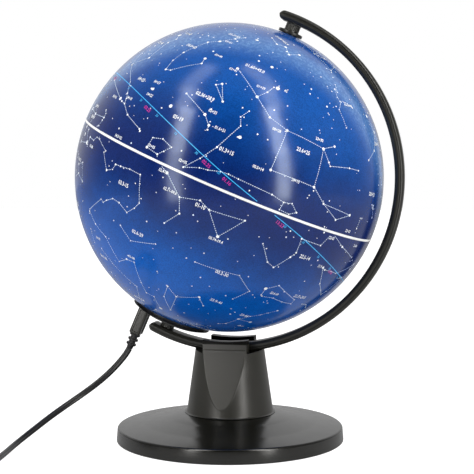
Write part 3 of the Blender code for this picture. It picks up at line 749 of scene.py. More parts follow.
def arm_section(thin):
    """The arm's section as (outward, across) points. Thin goes from 1 in the middle to 0 at a tip's end."""
    half = (ARM_OUTER - ARM_INNER) / 2
    wide = ARM_WIDTH / 2
    slant, lean, tight, outer = 1.9 * MM, 1.0 * MM, 0.25 * MM, 2.3 * MM
    groove = 1.1 * MM
    depth = 0.14 * MM
    corners = [
        (-half, lean - wide, tight),
        (slant - half, -wide, tight),
        (groove - depth, -wide, 0),
        (groove, -wide + depth, 0),
        (groove + depth, -wide, 0),
        (half, -wide, outer),
        (half, wide, outer),
        (groove + depth, wide, 0),
        (groove, wide - depth, 0),
        (groove - depth, wide, 0),
        (slant - half, wide, tight),
        (-half, wide - lean, tight),
    ]
    return [Vector((point.x * thin, point.y)) for point in filleted(corners, 7)]


def arm_piece(plastic):
    """The half meridian: a bar of rounded section bent round the ball, with rounded tips."""
    middle = (ARM_INNER + ARM_OUTER) / 2
    half = (ARM_OUTER - ARM_INNER) / 2
    total = pi / 2 + (ARM_OVERRUN + half) / middle
    tip = half / middle
    stations = [(total - tip * (1 - cos(pi / 2 * i / 9)), sin(pi / 2 * i / 9)) for i in range(1, 9)]
    inside = total - tip
    steps = 160
    angles = stations + [(inside - 2 * inside * i / steps, 1.0) for i in range(steps + 1)]
    angles += [(-angle, thin) for angle, thin in reversed(stations)]
    sections = []
    for angle, thin in angles:
        corners = [(middle + point.x, point.y) for point in arm_section(thin)]
        sections.append([(radius * cos(angle), y, radius * sin(angle)) for radius, y in corners])
    bm = lofted(sections)
    return piece("arm_bow", bm, plastic, "stand", POLAR_FRAME, ["meridian_arm"], 50)


def post_piece(name, low, high, radius, plastic, node_name):
    """A short fluted post between the arm and what it carries, flared a little where it meets them."""
    ribs = 16
    levels = 14
    count = 8 * ribs
    sections = []
    for i in range(levels + 1):
        t = i / levels
        flare = 0.35 * MM * (max(0.0, 1 - t / 0.2) ** 2 + max(0.0, 1 - (1 - t) / 0.2) ** 2)
        flute = 0.16 * MM * min(1.0, 5 * t, 5 * (1 - t))
        ring = []
        for j in range(count):
            angle = 2 * pi * j / count
            r = radius - 0.2 * MM + flare * 0.5 - flute * (0.5 + 0.5 * cos(angle * ribs)) ** 2
            ring.append((r * cos(angle), r * sin(angle), low + (high - low) * t))
        sections.append(ring)
    bm = lofted(sections)
    return piece(name, bm, plastic, place=POLAR_FRAME, stands_for=[node_name])


def cap_piece(plastic):
    """The thin cap under the ball: a shallow dish with a sharp rim, its collar, and the plug's slot."""
    edge = 0.4 * MM
    boss = CAP_BACK - 0.15 * MM
    outer, inner, top = 21.6 * MM, 20.6 * MM, -93.0 * MM
    outline = [
        (0, CAP_BACK, 0),
        (9 * MM, CAP_BACK, 0),
        (9.4 * MM, boss, 0.1 * MM),
        (10.6 * MM, boss, 0.1 * MM),
        (11 * MM, CAP_BACK, 0),
        (21 * MM, CAP_BACK, 12 * MM),
        (CAP_RADIUS, CAP_RIM - edge, 0.1 * MM),
        (CAP_RADIUS, CAP_RIM, 0.1 * MM),
        (outer, CAP_FACE, 0),
        (outer, top, 0.2 * MM),
        (inner, top, 0.2 * MM),
        (inner, CAP_FACE, 0),
        (0, CAP_FACE, 0),
    ]
    bm = turned(filleted(outline, 4), 192, loop=False)
    cap = piece("lamp_cover", bm, plastic, "stand", POLAR_FRAME, ["lamp_cap"])
    mouth = bmesh.new()
    bmesh.ops.create_cube(mouth, size=1)
    bmesh.ops.scale(mouth, vec=(2.4 * MM, 7.4 * MM, 6 * MM), verts=mouth.verts)
    bmesh.ops.translate(mouth, vec=(PLUG_OFFSET, 0, CAP_BACK), verts=mouth.verts)
    bmesh.ops.transform(mouth, matrix=POLAR_FRAME, verts=mouth.verts)
    cut_away(cap, mouth)
    return cap


# Ball

NORTH_HOLE = 5.0 * MM
SOUTH_HOLE = 23.6 * MM


def half_shell(name, hole, side, paint, node_name):
    """One half of the ball, from the equator band's edge to the hole at its pole."""
    inner_radius = GLOBE_RADIUS - 1.6 * MM
    lip = 0.81 * MM
    outer = arc(GLOBE_RADIUS, lip / GLOBE_RADIUS, acos(hole / GLOBE_RADIUS), 72)
    inner = arc(inner_radius, acos(hole / inner_radius), lip / inner_radius, 24)
    outline = [Vector((point.x, side * point.y)) for point in outer + inner]
    return piece(name, turned(outline, 288), paint, "globe", POLAR_FRAME, [node_name], 50)


def band_piece():
    """The white equator ring: its crowned edge shows between the halves, its sleeve is inside."""
    white = moulded("band_white", (0.86, 0.87, 0.88), 0.3, grain=0.6 * MM, drift=0.04)
    half = 0.69 * MM
    lap = 5 * MM
    heights = [half * (-1 + 2 * i / 8) for i in range(9)]
    crown = [(GLOBE_RADIUS + 0.09 * MM * (1 - (y / half) ** 2) - 0.03 * MM, y) for y in heights]
    outer, inner = 97.5 * MM, 96.2 * MM
    sleeve = [(outer, half), (outer, lap), (inner, lap), (inner, -lap), (outer, -lap), (outer, -half)]
    bm = turned(crown + sleeve, 288)
    return piece("equator_band", bm, white, "globe", POLAR_FRAME, ["equator_ring"], 50)


def bush_piece(plastic):
    """The flanged bush in the shell's top, round the axle pin."""
    bore, barrel, flange = 2.7 * MM, 4.6 * MM, 7.95 * MM
    foot, seat, recess, top = 93.4 * MM, 100.3 * MM, 101.9 * MM, 102.2 * MM
    outline = [
        (bore, foot, 0),
        (barrel, foot, 0.2 * MM),
        (barrel, seat, 0),
        (flange, seat, 0.3 * MM),
        (flange, top, 0.4 * MM),
        (6.4 * MM, top, 0.1 * MM),
        (6.2 * MM, recess, 0.1 * MM),
        (bore, recess, 0),
    ]
    bm = turned(filleted(outline, 4), 96)
    return piece("pole_bush", bm, plastic, "globe", POLAR_FRAME, ["north_bush"])


# Sky print

# A figure is its name, its stars and the paths of dashes from star to star, in letters. A star is its right
# ascension in hundredths of an hour, its declination in tenths of a degree and its magnitude in tenths.
FIELD_STARS = 860
FIELD_SIZES = (0.24, 0.28, 0.33, 0.4, 0.48)
STAR_UNITS = (100, 10, 10)
LETTERS = "abcdefghijklmnopqrstuvwxyzABCDEF"
FIGURES = """
andromeda: 14 291 21, 66 309 33, 116 356 21, 206 423 22, 95 385 39, 83 411 45, 163 486 36, 61 337 44, 79 243
41, 2303 423 36, 2363 465 38, 2367 443 41, 30 368 45: dcba cef;
pegasus: 2308 152 25, 2306 281 24, 22 152 28, 2174 99 24, 2269 108 34, 2217 62 35, 2272 302 29, 2212 253 38,
2174 256 41, 2277 236 40, 2283 246 35, 14 291 21: lbacl bg bkjhi aefde;
pisces: 203 28 38, 176 92 43, 152 153 36, 123 246 47, 132 273 48, 119 301 45, 119 210 47, 169 55 44, 150 61
48, 123 76 52, 105 79 43, 81 76 44, 2399 69 40, 2367 56 41, 2347 64 43, 2329 33 37, 2345 13 49, 2370 18 45:
abcdef ahijklmnopqrn;
aries: 212 235 20, 191 208 26, 189 193 39, 283 273 36, 319 197 44, 299 213 46: dabc;
triangulum: 216 350 30, 189 296 34, 229 339 40: abca;
perseus: 340 499 18, 314 410 21, 308 535 29, 371 478 30, 396 400 29, 390 319 29, 285 559 38, 398 358 40, 374
323 38, 316 449 38, 309 388 34, 425 484 41, 411 504 43, 173 507 41, 290 528 39: gcadehfi ikb;
cassiopeia: 15 592 23, 68 565 22, 94 607 22, 143 602 27, 191 637 34, 82 578 34: abcde;
cepheus: 2131 626 25, 2148 706 32, 2366 776 32, 2249 584 41, 2218 582 34, 2075 618 34, 2283 662 35, 2225 570
42, 2049 630 42, 2173 588 41: abcgea bg ed afi;
lacerta: 2252 503 38, 2239 522 44, 2249 477 44, 2241 495 46, 2235 465 45, 2251 431 45, 2227 378 41: bdacefg;
cygnus: 2069 453 13, 1951 280 31, 2037 403 22, 1975 451 29, 2077 340 25, 1994 351 39, 2122 302 32, 1950 517
38, 1929 534 38: acfb gecdhi;
lyra: 1862 388 0, 1884 334 35, 1898 327 32, 1891 369 43, 1875 376 43: aedcbe;
aquila: 1985 89 8, 1992 64 37, 1977 106 27, 1943 31 34, 1909 139 30, 1910 -49 34, 2019 -8 32, 1987 10 39,
1899 151 40: bac adf ae dhg ei;
delphinus: 2063 146 36, 2066 159 38, 2072 151 44, 2078 161 43, 2055 113 40: eabdca;
sagitta: 1998 195 35, 1979 185 38, 1967 180 44, 1968 175 44: abc bd;
equuleus: 2126 52 39, 2124 100 45, 2117 101 47: abc;
aquarius: 2153 -56 29, 2210 -3 30, 2236 -14 38, 2248 0 37, 2259 -1 40, 2242 14 47, 2291 -158 33, 2288 -76
37, 2283 -136 40, 2324 -60 42, 2327 -91 42, 2338 -201 40, 2316 -212 37, 2080 -95 38, 2228 -78 42, 2211 -139
43, 2371 -145 45: qlmgiho ob bcfdc de ban;
capricornus: 2030 -125 36, 2035 -148 31, 2178 -161 29, 2167 -167 37, 2144 -224 37, 2086 -269 41, 2077 -253
41, 2110 -172 41, 2137 -168 43, 2112 -250 45: abgfjecdiha;
piscis_austrinus: 2296 -296 12, 2268 -270 42, 2214 -330 45, 2252 -324 43, 2288 -329 45, 2293 -325 42, 2175
-330 43, 2180 -309 50: abhgcdefa;
grus: 2214 -470 17, 2271 -469 21, 2190 -374 30, 2249 -435 40, 2210 -395 45, 2281 -513 35, 2302 -528 41, 2317
-452 39, 2311 -435 43, 2226 -414 48: gfbdjec ba;
phoenix: 44 -423 24, 110 -467 33, 147 -433 34, 152 -491 39, 16 -457 39, 114 -552 39, 72 -575 44: cdfbc bae;
sculptor: 98 -294 43, 2355 -378 44, 2331 -325 44, 2382 -281 46: adcb;
cetus: 73 -180 20, 304 41 25, 114 -102 35, 140 -82 36, 186 -103 37, 173 -159 35, 32 -88 36, 272 32 35, 266 3
41, 232 -30 30, 275 101 43, 247 85 43, 222 89 44, 260 56 49, 300 89 47, 200 -211 40: boklhb hijedcgac efp;
fornax: 320 -290 39, 282 -324 45, 208 -293 47: abc;
eridanus: 513 -51 28, 515 -88 43, 488 -55 44, 476 -33 40, 461 -34 39, 420 -68 40, 425 -77 44, 397 -135 30,
377 -121 44, 372 -98 35, 355 -95 37, 294 -89 39, 326 -88 48, 275 -186 45, 285 -210 48, 304 -236 41, 333 -218
37, 356 -216 43, 378 -233 42, 390 -246 46, 400 -240 47, 456 -298 45, 459 -306 38, 430 -338 36, 382 -362 42,
333 -431 43, 297 -403 29, 268 -399 41, 245 -477 42, 227 -515 36, 193 -516 37, 163 -572 5:
bacdefghijkmlnopqrstuvwxyzABCDEF;
taurus: 460 165 9, 544 286 17, 563 211 30, 433 156 37, 438 175 38, 448 192 35, 448 159 34, 401 125 35, 345
97 37, 341 90 36, 470 230 43, 379 241 29, 375 241 37, 376 244 39, 377 239 42, 382 241 36, 405 60 39:
bkfedgac dhij;
auriga: 528 460 1, 599 449 19, 600 372 26, 495 332 27, 503 438 30, 511 412 32, 599 543 37, 544 286 17:
abchdfea bga;
orion: 592 74 5, 524 -82 1, 542 63 16, 553 -3 22, 560 -12 17, 568 -19 18, 580 -97 21, 559 99 34, 541 -24 34,
483 70 32, 484 89 44, 492 102 47, 485 56 37, 490 24 37, 497 17 45, 604 96 41, 620 142 44, 613 148 44, 591
203 44, 559 -59 28: hach afgbdc def lkjmno cj apqs;
lepus: 555 -178 26, 547 -208 28, 574 -224 36, 586 -209 38, 509 -224 32, 522 -162 33, 578 -148 36, 594 -142
37: hga abefa bcd;
columba: 566 -341 26, 585 -358 31, 552 -355 39, 637 -334 39: cabd;
canis_major: 675 -167 -15, 638 -180 20, 698 -290 15, 714 -264 18, 740 -293 25, 634 -301 30, 705 -238 30, 690
-120 41, 694 -171 44, 706 -156 41: ba agde dcf aijh ha;
canis_minor: 766 52 4, 745 83 29: ab;
gemini: 758 319 16, 775 280 11, 663 164 19, 638 225 29, 673 251 30, 625 225 33, 675 129 34, 733 220 35, 707
206 40, 774 244 36, 730 165 36, 688 340 36, 719 302 44: ab amedf bhic hkg bj ml;
monoceros: 769 -96 39, 625 -63 40, 720 -5 42, 648 -70 37, 814 -30 44: bdcea;
cancer: 828 92 35, 874 182 39, 872 215 47, 897 119 42, 878 288 40: abd bce;
leo: 1014 120 14, 1033 198 20, 1028 234 34, 988 260 39, 976 238 30, 1012 168 35, 1123 205 26, 1124 154 33,
1182 146 21: afbcde bgiha gh;
leo_minor: 1089 342 38, 1046 367 42, 1012 352 45: abc;
hydra: 946 -87 20, 878 64 34, 892 59 31, 863 57 41, 865 33 44, 872 34 43, 924 23 39, 966 -11 39, 986 -148
41, 1018 -124 36, 1044 -168 38, 1083 -162 31, 1155 -319 35, 1188 -339 43, 1331 -232 30, 1411 -267 33:
cbdefcghaijklmnop;
crater: 1100 -183 41, 1132 -148 36, 1141 -177 41, 1119 -228 45: abcda;
corvus: 1226 -175 26, 1257 -234 27, 1250 -165 29, 1217 -226 30, 1214 -247 40: edacbd;
virgo: 1342 -112 10, 1269 -15 28, 1304 110 28, 1293 34 34, 1185 18 36, 1233 -7 39, 1358 -6 34, 1317 -55 44,
1427 -60 41, 1403 15 43, 1477 19 37: efbdc bhai dgjk;
coma: 1320 279 43, 1245 283 44, 1317 175 43: bac;
canes_venatici: 1293 383 29, 1256 414 42: ab;
ursa_major: 1106 618 18, 1103 564 24, 1190 537 24, 1226 570 33, 1290 560 18, 1340 549 22, 1379 493 19, 955
517 32, 899 480 31, 906 472 36, 1029 429 34, 1037 415 31, 1116 445 30, 1131 331 35, 1130 315 38, 1177 478
37, 850 607 34, 985 590 38, 953 631 37: gfedabcd asqrb rhi hj cpmkl pno;
ursa_minor: 253 893 20, 1754 866 44, 1677 820 42, 1573 778 43, 1629 758 50, 1535 718 30, 1485 742 21:
abcdgfed;
draco: 1794 515 22, 1751 523 28, 1789 569 37, 1754 552 49, 1921 677 31, 1835 727 36, 1715 657 32, 1640 615
27, 1603 586 40, 1541 590 33, 1407 644 37, 1256 698 39, 1152 693 38: dbacd cefghijklm;
bootes: 1426 192 0, 1475 271 24, 1391 184 27, 1454 383 30, 1526 333 35, 1503 404 35, 1453 304 36, 1469 137
38: agdfeba ca ah;
corona_borealis: 1558 267 22, 1546 291 37, 1555 314 41, 1571 263 38, 1583 261 46, 1596 269 41, 1602 299 50:
cbadefg;
hercules: 1724 144 31, 1650 215 28, 1636 192 38, 1725 248 31, 1700 309 39, 1669 316 28, 1671 389 35, 1725
368 32, 1794 372 39, 1766 460 38, 1633 463 39, 1777 277 34, 1813 288 38: cbfgh hef edlm hij gk;
ophiuchus: 1758 126 21, 1773 46 28, 1696 94 32, 1624 -37 27, 1630 -47 32, 1662 -106 26, 1717 -157 24, 1737
-250 33, 1798 -98 33: acdefgba gh bi;
serpens: 1574 64 26, 1558 105 38, 1577 154 37, 1594 157 38, 1585 45 37, 1583 -34 35, 1836 -29 32, 1894 42
46, 1763 -154 35: dcbaef igh;
libra: 1528 -94 26, 1485 -160 28, 1507 -253 33, 1559 -148 39: cbad;
scorpius: 1649 -264 10, 1609 -198 26, 1601 -226 23, 1598 -261 29, 1635 -256 29, 1660 -282 28, 1684 -343 23,
1686 -380 30, 1691 -424 36, 1720 -432 33, 1762 -430 19, 1779 -401 30, 1771 -390 24, 1756 -371 16, 1751 -373
27: bcd ceafghijklmno;
sagittarius: 1840 -344 18, 1892 -263 21, 1904 -299 26, 1835 -298 27, 1847 -254 28, 1916 -210 29, 1810 -304
30, 1829 -368 31, 1876 -270 32, 1912 -277 33, 1823 -211 39, 1940 -406 40, 1938 -445 40: gdeibjci agd ah ek
bf acd lm;
corona_australis: 1916 -379 41, 1917 -393 41, 1911 -371 42: cab;
indus: 2063 -473 31, 2091 -584 37, 2133 -534 44: acb;
tucana: 2231 -603 29, 2329 -582 40, 34 -649 42, 53 -630 43, 2400 -656 45: abdce;
hydrus: 198 -616 29, 43 -772 28, 379 -742 32: acb;
horologium: 423 -423 39, 271 -508 54, 298 -641 50: abc;
reticulum: 424 -625 34, 374 -648 39: ab;
caelum: 468 -419 44, 470 -371 50: ab;
dorado: 457 -550 33, 556 -625 38, 427 -515 43: cab;
pictor: 680 -619 33, 579 -511 39: ab;
carina: 640 -527 -7, 922 -697 17, 838 -595 19, 929 -593 22, 1072 -644 27: acdeb;
vela: 816 -473 18, 874 -547 20, 937 -550 25, 913 -434 22, 1078 -494 27, 995 -546 35: abcfeda;
puppis: 806 -400 22, 729 -371 27, 813 -243 28, 782 -249 33, 663 -432 32, 683 -506 29, 749 -433 33: acdbefga;
crux: 1244 -631 8, 1279 -597 13, 1252 -571 16, 1225 -587 28: ac bd;
centaurus: 1466 -608 -3, 1406 -604 6, 1411 -364 21, 1269 -490 22, 1366 -535 23, 1459 -422 23, 1393 -473 25,
1214 -507 26, 1334 -367 27: ae bedh egf gci;
lupus: 1470 -474 23, 1498 -431 27, 1559 -412 28, 1536 -406 32, 1538 -447 34: abdcea;
ara: 1753 -499 29, 1742 -555 28, 1698 -560 31: abca;
triangulum_australe: 1681 -690 19, 1592 -634 28, 1531 -687 29: abca;
pavo: 2043 -567 19, 2075 -662 34, 2014 -662 36, 1776 -647 36: abcd;
musca: 1262 -691 27, 1277 -681 30: ab;
microscopium: 2102 -323 47, 2130 -322 47, 2083 -338 49: cab;
camelopardalis: 506 604 40, 490 663 43, 384 713 46: abc;
lynx: 935 344 31, 931 368 38, 838 432 43, 696 584 44: abcd
"""


def printed_declination(declination):
    """Where a declination lands on the formed shells: drawn to the equator, and near a pole to the pole."""
    size = abs(declination)
    pull = 4.0 * tanh(size / 12) * max(0.0, 1 - (size / 45) ** 2)
    push = 3.5 * min(1.0, max(0.0, (size - 47) / 10)) * min(1.0, (90 - size) / 12)
    return declination + (push - pull if declination > 0 else pull - push)


def sky_point(hour, declination):
    """The direction, in the globe's own frame, of a place on the printed sky."""
    turn = radians(15 * (hour - FRONT_HOUR))
    rise = radians(printed_declination(declination))
    return Vector((-sin(turn) * cos(rise), -cos(turn) * cos(rise), sin(rise)))


def sky_frame(direction):
    """Rightward and upward on the print at a place, for someone who looks at the ball from outside."""
    right = Vector((0, 0, 1)).cross(direction).normalized()
    return right, direction.cross(right)


def on_shell(direction, right, up, x, y, lift=PRINT_LIFT):
    """A point of the print, x rightward and y upward of a place, laid on the shell."""
    return (direction * GLOBE_RADIUS + right * x + up * y).normalized() * (GLOBE_RADIUS + lift)


def clear_of_edges(direction):
    """False where the print would run onto the equator band, the top bush or the lamp opening."""
    band, bush, opening = 1.5 * MM, 99.5 * MM, -96.5 * MM
    height = direction.z * GLOBE_RADIUS
    return abs(height) > band and opening < height < bush


def add_dot(bm, direction, radius, sides):
    """A round dot of ink at a direction."""
    right, up = sky_frame(direction)
    corners = [2 * pi * i / sides for i in range(sides)]
    points = [on_shell(direction, right, up, radius * cos(a), radius * sin(a)) for a in corners]
    bm.faces.new([bm.verts.new(point) for point in points])


def add_stroke(bm, start, end, width):
    """A short stroke of ink between two directions."""
    side = (end - start).normalized().cross(start).normalized() * (width / 2)
    first, last = start * GLOBE_RADIUS, end * GLOBE_RADIUS
    corners = [first - side, last - side, last + side, first + side]
    bm.faces.new([bm.verts.new(corner.normalized() * (GLOBE_RADIUS + PRINT_LIFT)) for corner in corners])


def add_dashes(bm, start, end):
    """Dashes along the great circle between two directions, clear of the dots at its ends."""
    width, dash, gap, trim = 0.36 * MM, 0.8 * MM, 0.5 * MM, 0.8 * MM
    length = start.angle(end) * GLOBE_RADIUS
    place = trim
    while place < length - trim:
        stop = min(place + dash, length - trim)
        a = start.slerp(end, place / length)
        b = start.slerp(end, stop / length)
        if clear_of_edges(a) and clear_of_edges(b) and stop - place > 0.1 * MM:
            add_stroke(bm, a, b, width)
        place += dash + gap


def star_size(magnitude):
    """A dot's radius: brighter stars are printed larger."""
    return min(1.35, max(0.45, 1.32 - 0.2 * magnitude)) * MM


def print_piece(name, bm, material):
    """Ink on the ball."""
    return piece(name, bm, material, "globe", POLAR_FRAME, sharp=0)


def figure_pieces(white, pale):
    """Star dots and the dashed lines of the figures."""
    dots = bmesh.new()
    lines = bmesh.new()
    for figure in FIGURES.split(";"):
        _, text, paths = figure.split(":")
        stars = rows(text, STAR_UNITS)
        places = [sky_point(hour, declination) for hour, declination, _ in stars]
        for place, (_, _, magnitude) in zip(places, stars):
            if clear_of_edges(place):
                add_dot(dots, place, star_size(magnitude), 12)
        for path in paths.split():
            for first, second in zip(path, path[1:]):
                add_dashes(lines, places[LETTERS.index(first)], places[LETTERS.index(second)])
    print_piece("star_dots", dots, white)
    print_piece("figure_lines", lines, pale)


def field_piece(pale):
    """Faint stars between the figures, thicker along the Milky Way."""
    random = Random(7)
    dots = bmesh.new()
    pole = galactic_pole()
    for hour, declination, magnitude in rows(DEEP_SKY):
        add_dot(dots, sky_point(hour, declination), star_size(magnitude), 12)
    made = 0
    while made < FIELD_STARS:
        height = random.uniform(-0.96, 0.985)
        turn = random.uniform(0, 2 * pi)
        flat = sqrt(1 - height * height)
        place = Vector((flat * cos(turn), flat * sin(turn), height))
        if random.random() > 0.4 + 0.6 * max(0.0, 1 - abs(place.dot(pole)) / 0.35):
            continue
        made += 1
        size = random.choice(FIELD_SIZES) * MM
        if clear_of_edges(place):
            add_dot(dots, place, size, 6)
    print_piece("field_stars", dots, pale)


# Each number's place on the sky, and about how many characters it has
FIGURE_NUMBERS = (
    "1.6 45 10, 2.36 28.9 10, 2.66 18.9 5, 4.37 25.4 5, 4 43.4 7, 1.29 15.3 7, 23.6 24.9 7, 3.32 54.8 7,"
    "21.96 46.5 7, 3.32 -15.1 7, 1.35 -10.3 5, 2.63 -28.7 7, 0.24 -29.7 7, 23.91 -41.3 7, 22.53 -14.3 7,"
    "21.71 -29.3 10, 22.72 -43.8 5, 20.4 36.5 7, 22.2 66 7, 18.7 30 5, 19.6 -9 5, 20.9 19.5 7,"
    "17 28 7, 17.1 -7 10, 15.9 11 7, 15.7 32 7, 14.6 33 7, 16.5 55 5, 11.4 50 10, 10.6 17 5, 8.6 14 7,"
    "7.1 27 7, 5.5 40 7, 5.5 4.5 5, 6.8 -22 10, 5.5 -16 5, 5.8 -32 7, 7.5 -35 7, 9.3 -50 5, 8.5 -63 7,"
    "10.5 -23 5, 11.2 -13 7, 12.4 -20 7, 13.2 -7 5, 15.2 -19 5, 16.5 -33 7, 18.6 -30 10, 13.3 -44 7,"
    "15.3 -44 5, 12.5 -53 5, 19.5 -61 5, 21.2 -51 5, 23.3 -63 7, 17.2 -52 5, 4.3 -46 7, 2.9 -58 7"
)
STAR_NUMBERS = (
    "2.87 44 5, 2.14 41.2 5, 1.17 39.2 5, 0.46 41.5 2, 1.98 25.3 5, 1.63 21.1 7, 0.39 27.9 5, 23.22 30.4 5,"
    "0.5 14.2 7, 4.89 16.1 5, 4.28 18 5, 3.8 26.7 5, 3.73 21.9 5, 2.94 5.3 5, 2.09 5.1 5, 2.42 -3.1 7,"
    "3.95 2.4 7, 2.11 -9.6 10, 0.74 -19.4 10, 22.61 -30.5 7, 2.77 -38.5 5, 23.58 14.9 5, 4.28 -38.8 5,"
    "22.05 -3 5, 21.59 2.8 5, 20.95 -3.8 5, 20.62 -18.9 5, 21.87 -15.9 7, 22.13 -50.6 5, 20.3 47 5,"
    "19.4 10 5, 18.3 40 5, 14 21 7, 13.1 -13 5, 16.9 -26 7, 9.8 13 7, 7.2 33 5, 7.6 8 7, 6.4 -16 7,"
    "5.6 9.5 7, 4.9 -8.5 5, 5 48 7, 13.6 -62 5, 6.8 -54 7, 11.4 63 5, 12.6 58 5, 3.1 51 5, 12.3 15 7"
)
# The print's bright dots that belong to no figure
DEEP_SKY = (
    "0.712 41.3 0.4, 3 21.5 1.2, 1.14 21.2 1.6, 1.13 48.4 1.8, 2.34 57.1 1.5, 16.7 36.5 2, 5.59 -5.4 1.5,"
    "13.45 -47.5 1.5"
)
# The ecliptic longitude of each month's number
MONTH_PLACES = (16, 25, 55, 86, 115, 145, 172, 205, 235, 265, 291, 318, 352)
# The number that reads along its own line near the north pole: text, start and end
POLAR_NUMBER = ("01.36+65.4", (1.885, 67.4), (0.86, 63.4))
# A digit's height as a share of the font's size
DIGIT_SHARE = 0.7


def text_mesh(text):
    """A flat mesh of a string in the plain built-in font, one unit high, centred."""
    curve = bpy.data.curves.new("label", "FONT")
    curve.body = text
    curve.align_x = "CENTER"
    curve.align_y = "CENTER"
    curve.resolution_u = 2
    curve.offset = 0.014
    obj = linked("label", curve)
    bpy.context.view_layer.update()
    mesh = bpy.data.meshes.new_from_object(obj.evaluated_get(bpy.context.evaluated_depsgraph_get()))
    bpy.data.objects.remove(obj)
    return mesh


def add_label(bm, text, direction, height, squeeze, along=None):
    """Numbers laid on the shell with digits of a height, level with the equator or along a direction."""
    right, up = sky_frame(direction)
    if along:
        right, up = along, direction.cross(along)
    mesh = text_mesh(text)
    size = height / DIGIT_SHARE
    corners = []
    for vertex in mesh.vertices:
        x, y = vertex.co.x * size * squeeze, vertex.co.y * size
        corners.append(bm.verts.new(on_shell(direction, right, up, x, y, 2 * PRINT_LIFT)))
    for polygon in mesh.polygons:
        bm.faces.new([corners[index] for index in polygon.vertices])
    bpy.data.meshes.remove(mesh)


def place_number(hour, declination, length):
    """A sky place as digits: its hour and signed degrees, with as many decimals as its length allows."""
    if length >= 10:
        return f"{hour:05.2f}{declination:+05.1f}"
    if length >= 7:
        return f"{hour:04.1f}{declination:+03.0f}"
    if length >= 5:
        return f"{hour:02.0f}{declination:+03.0f}"
    return f"{abs(declination):02.0f}"


def label_pieces(white):
    """Numbers beside the figures and the brightest stars."""
    squeeze = 0.8
    figures, stars = 2.35 * MM, 1.8 * MM
    tables = (("figure_numbers", FIGURE_NUMBERS, figures), ("star_numbers", STAR_NUMBERS, stars))
    for name, table, height in tables:
        bm = bmesh.new()
        for hour, declination, length in rows(table):
            text = place_number(hour, declination, length)
            add_label(bm, text, sky_point(hour, declination), height, squeeze)
        if name == "figure_numbers":
            text, first, last = POLAR_NUMBER
            start, end = sky_point(*first), sky_point(*last)
            add_label(bm, text, (start + end).normalized(), height, squeeze, (end - start).normalized())
        print_piece(name, bm, white)


def ecliptic_place(longitude, latitude=0.0):
    """Hour and declination of a place on or beside the ecliptic."""
    tilt = radians(23.44)
    l, b = radians(longitude), radians(latitude)
    x = cos(b) * cos(l)
    y = cos(b) * sin(l) * cos(tilt) - sin(b) * sin(tilt)
    z = cos(b) * sin(l) * sin(tilt) + sin(b) * cos(tilt)
    return degrees(atan2(y, x)) / 15 % 24, degrees(asin(z))


def ecliptic_pieces(cyan, magenta):
    """The Sun's yearly path with its tens of degrees, and the months' numbers beside it."""
    line = bmesh.new()
    months = bmesh.new()
    path = [sky_point(*ecliptic_place(longitude)) for longitude in range(0, 361)]
    for start, end in zip(path, path[1:]):
        if clear_of_edges(start) and clear_of_edges(end):
            add_stroke(line, start, end, 0.47 * MM)
    for longitude in range(0, 360, 10):
        beside = ecliptic_place(longitude, -1.1)
        if abs(beside[1]) > 3:
            direction = sky_point(*beside)
            add_label(line, f"{longitude % 30 or 30}", direction, 1.5 * MM, 0.9, ecliptic_run(longitude))
    for month, longitude in enumerate(MONTH_PLACES, 1):
        direction = sky_point(*ecliptic_place(longitude, -1.7))
        text = f"{month:02d}.{longitude % 30:02d}"
        add_label(months, text, direction, 2.0 * MM, 0.95, ecliptic_run(longitude))
    print_piece("ecliptic_line", line, cyan)
    print_piece("month_numbers", months, magenta)


def ecliptic_run(longitude):
    """The direction in which numbers beside the ecliptic read: towards smaller longitudes."""
    ahead = sky_point(*ecliptic_place(longitude - 1))
    behind = sky_point(*ecliptic_place(longitude + 1))
    return (ahead - behind).normalized()


# Inside pieces that keep their shape

# Material, colour, roughness, its other settings, and the nodes that have it
INSIDE = (
    ("zinc_plate", (0.52, 0.53, 0.55), 0.34, {"metallic": 1.0, "grain": 0.2 * MM},
     "arm_screw arm_washer cover_screw_1 cover_screw_2 cover_screw_3 neck_screw_1 neck_screw_2 neck_screw_3"),
    ("bright_steel", (0.6, 0.6, 0.61), 0.22, {"metallic": 1.0, "grain": 0.15 * MM},
     "axle_pin pin_retaining_ring lamp_cap_screw"),
    ("cast_weight", (0.2, 0.2, 0.21), 0.62, {"metallic": 0.8, "grain": 1.2 * MM, "depth": 0.12 * MM},
     "base_weight"),
    ("cover_black", (0.02, 0.02, 0.021), 0.55, {"grain": 0.5 * MM, "depth": 0.03 * MM}, "bottom_cover"),
    ("pad_foam", (0.015, 0.015, 0.016), 0.92, {"grain": 0.7 * MM, "depth": 0.12 * MM}, "base_pad"),
    ("lamp_white_plastic", (0.72, 0.72, 0.7), 0.48, {}, "lamp_stem led_board usb_a_insert"),
    ("frosted_dome", (0.82, 0.82, 0.8), 0.55, {}, "diffuser_dome"),
    ("green_mask", (0.02, 0.13, 0.055), 0.35, {"grain": 0.4 * MM}, "socket_board"),
    ("led_phosphor", (0.8, 0.68, 0.25), 0.4, {}, "led_1 led_2 led_3 led_4"),
    ("red_insulation", (0.42, 0.02, 0.015), 0.42, {}, "lamp_wire_1 lamp_wire_2"),
    ("nickel_plate", (0.62, 0.61, 0.58), 0.26, {"metallic": 1.0, "grain": 0.2 * MM},
     "power_socket plug_tongue usb_a_shell"),
    ("collar_black", (0.02, 0.02, 0.021), 0.42, {}, "north_bush_nut south_collar"),
)


def finish_inside():
    """Gives each node that still shows a full material of its own."""
    for name, colour, roughness, settings, nodes in INSIDE:
        material = moulded(name, colour, roughness, **settings)
        for node_name in nodes.split():
            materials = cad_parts[node_name].data.materials
            materials.clear()
            materials.append(material)


# Studio

LEFT_AZIMUTH = -25
RIGHT_AZIMUTH = 48
STRIP_RADIANCE = 10.0
STRIP_DISTANCE = 0.7
STRIP_WIDTH = 0.115
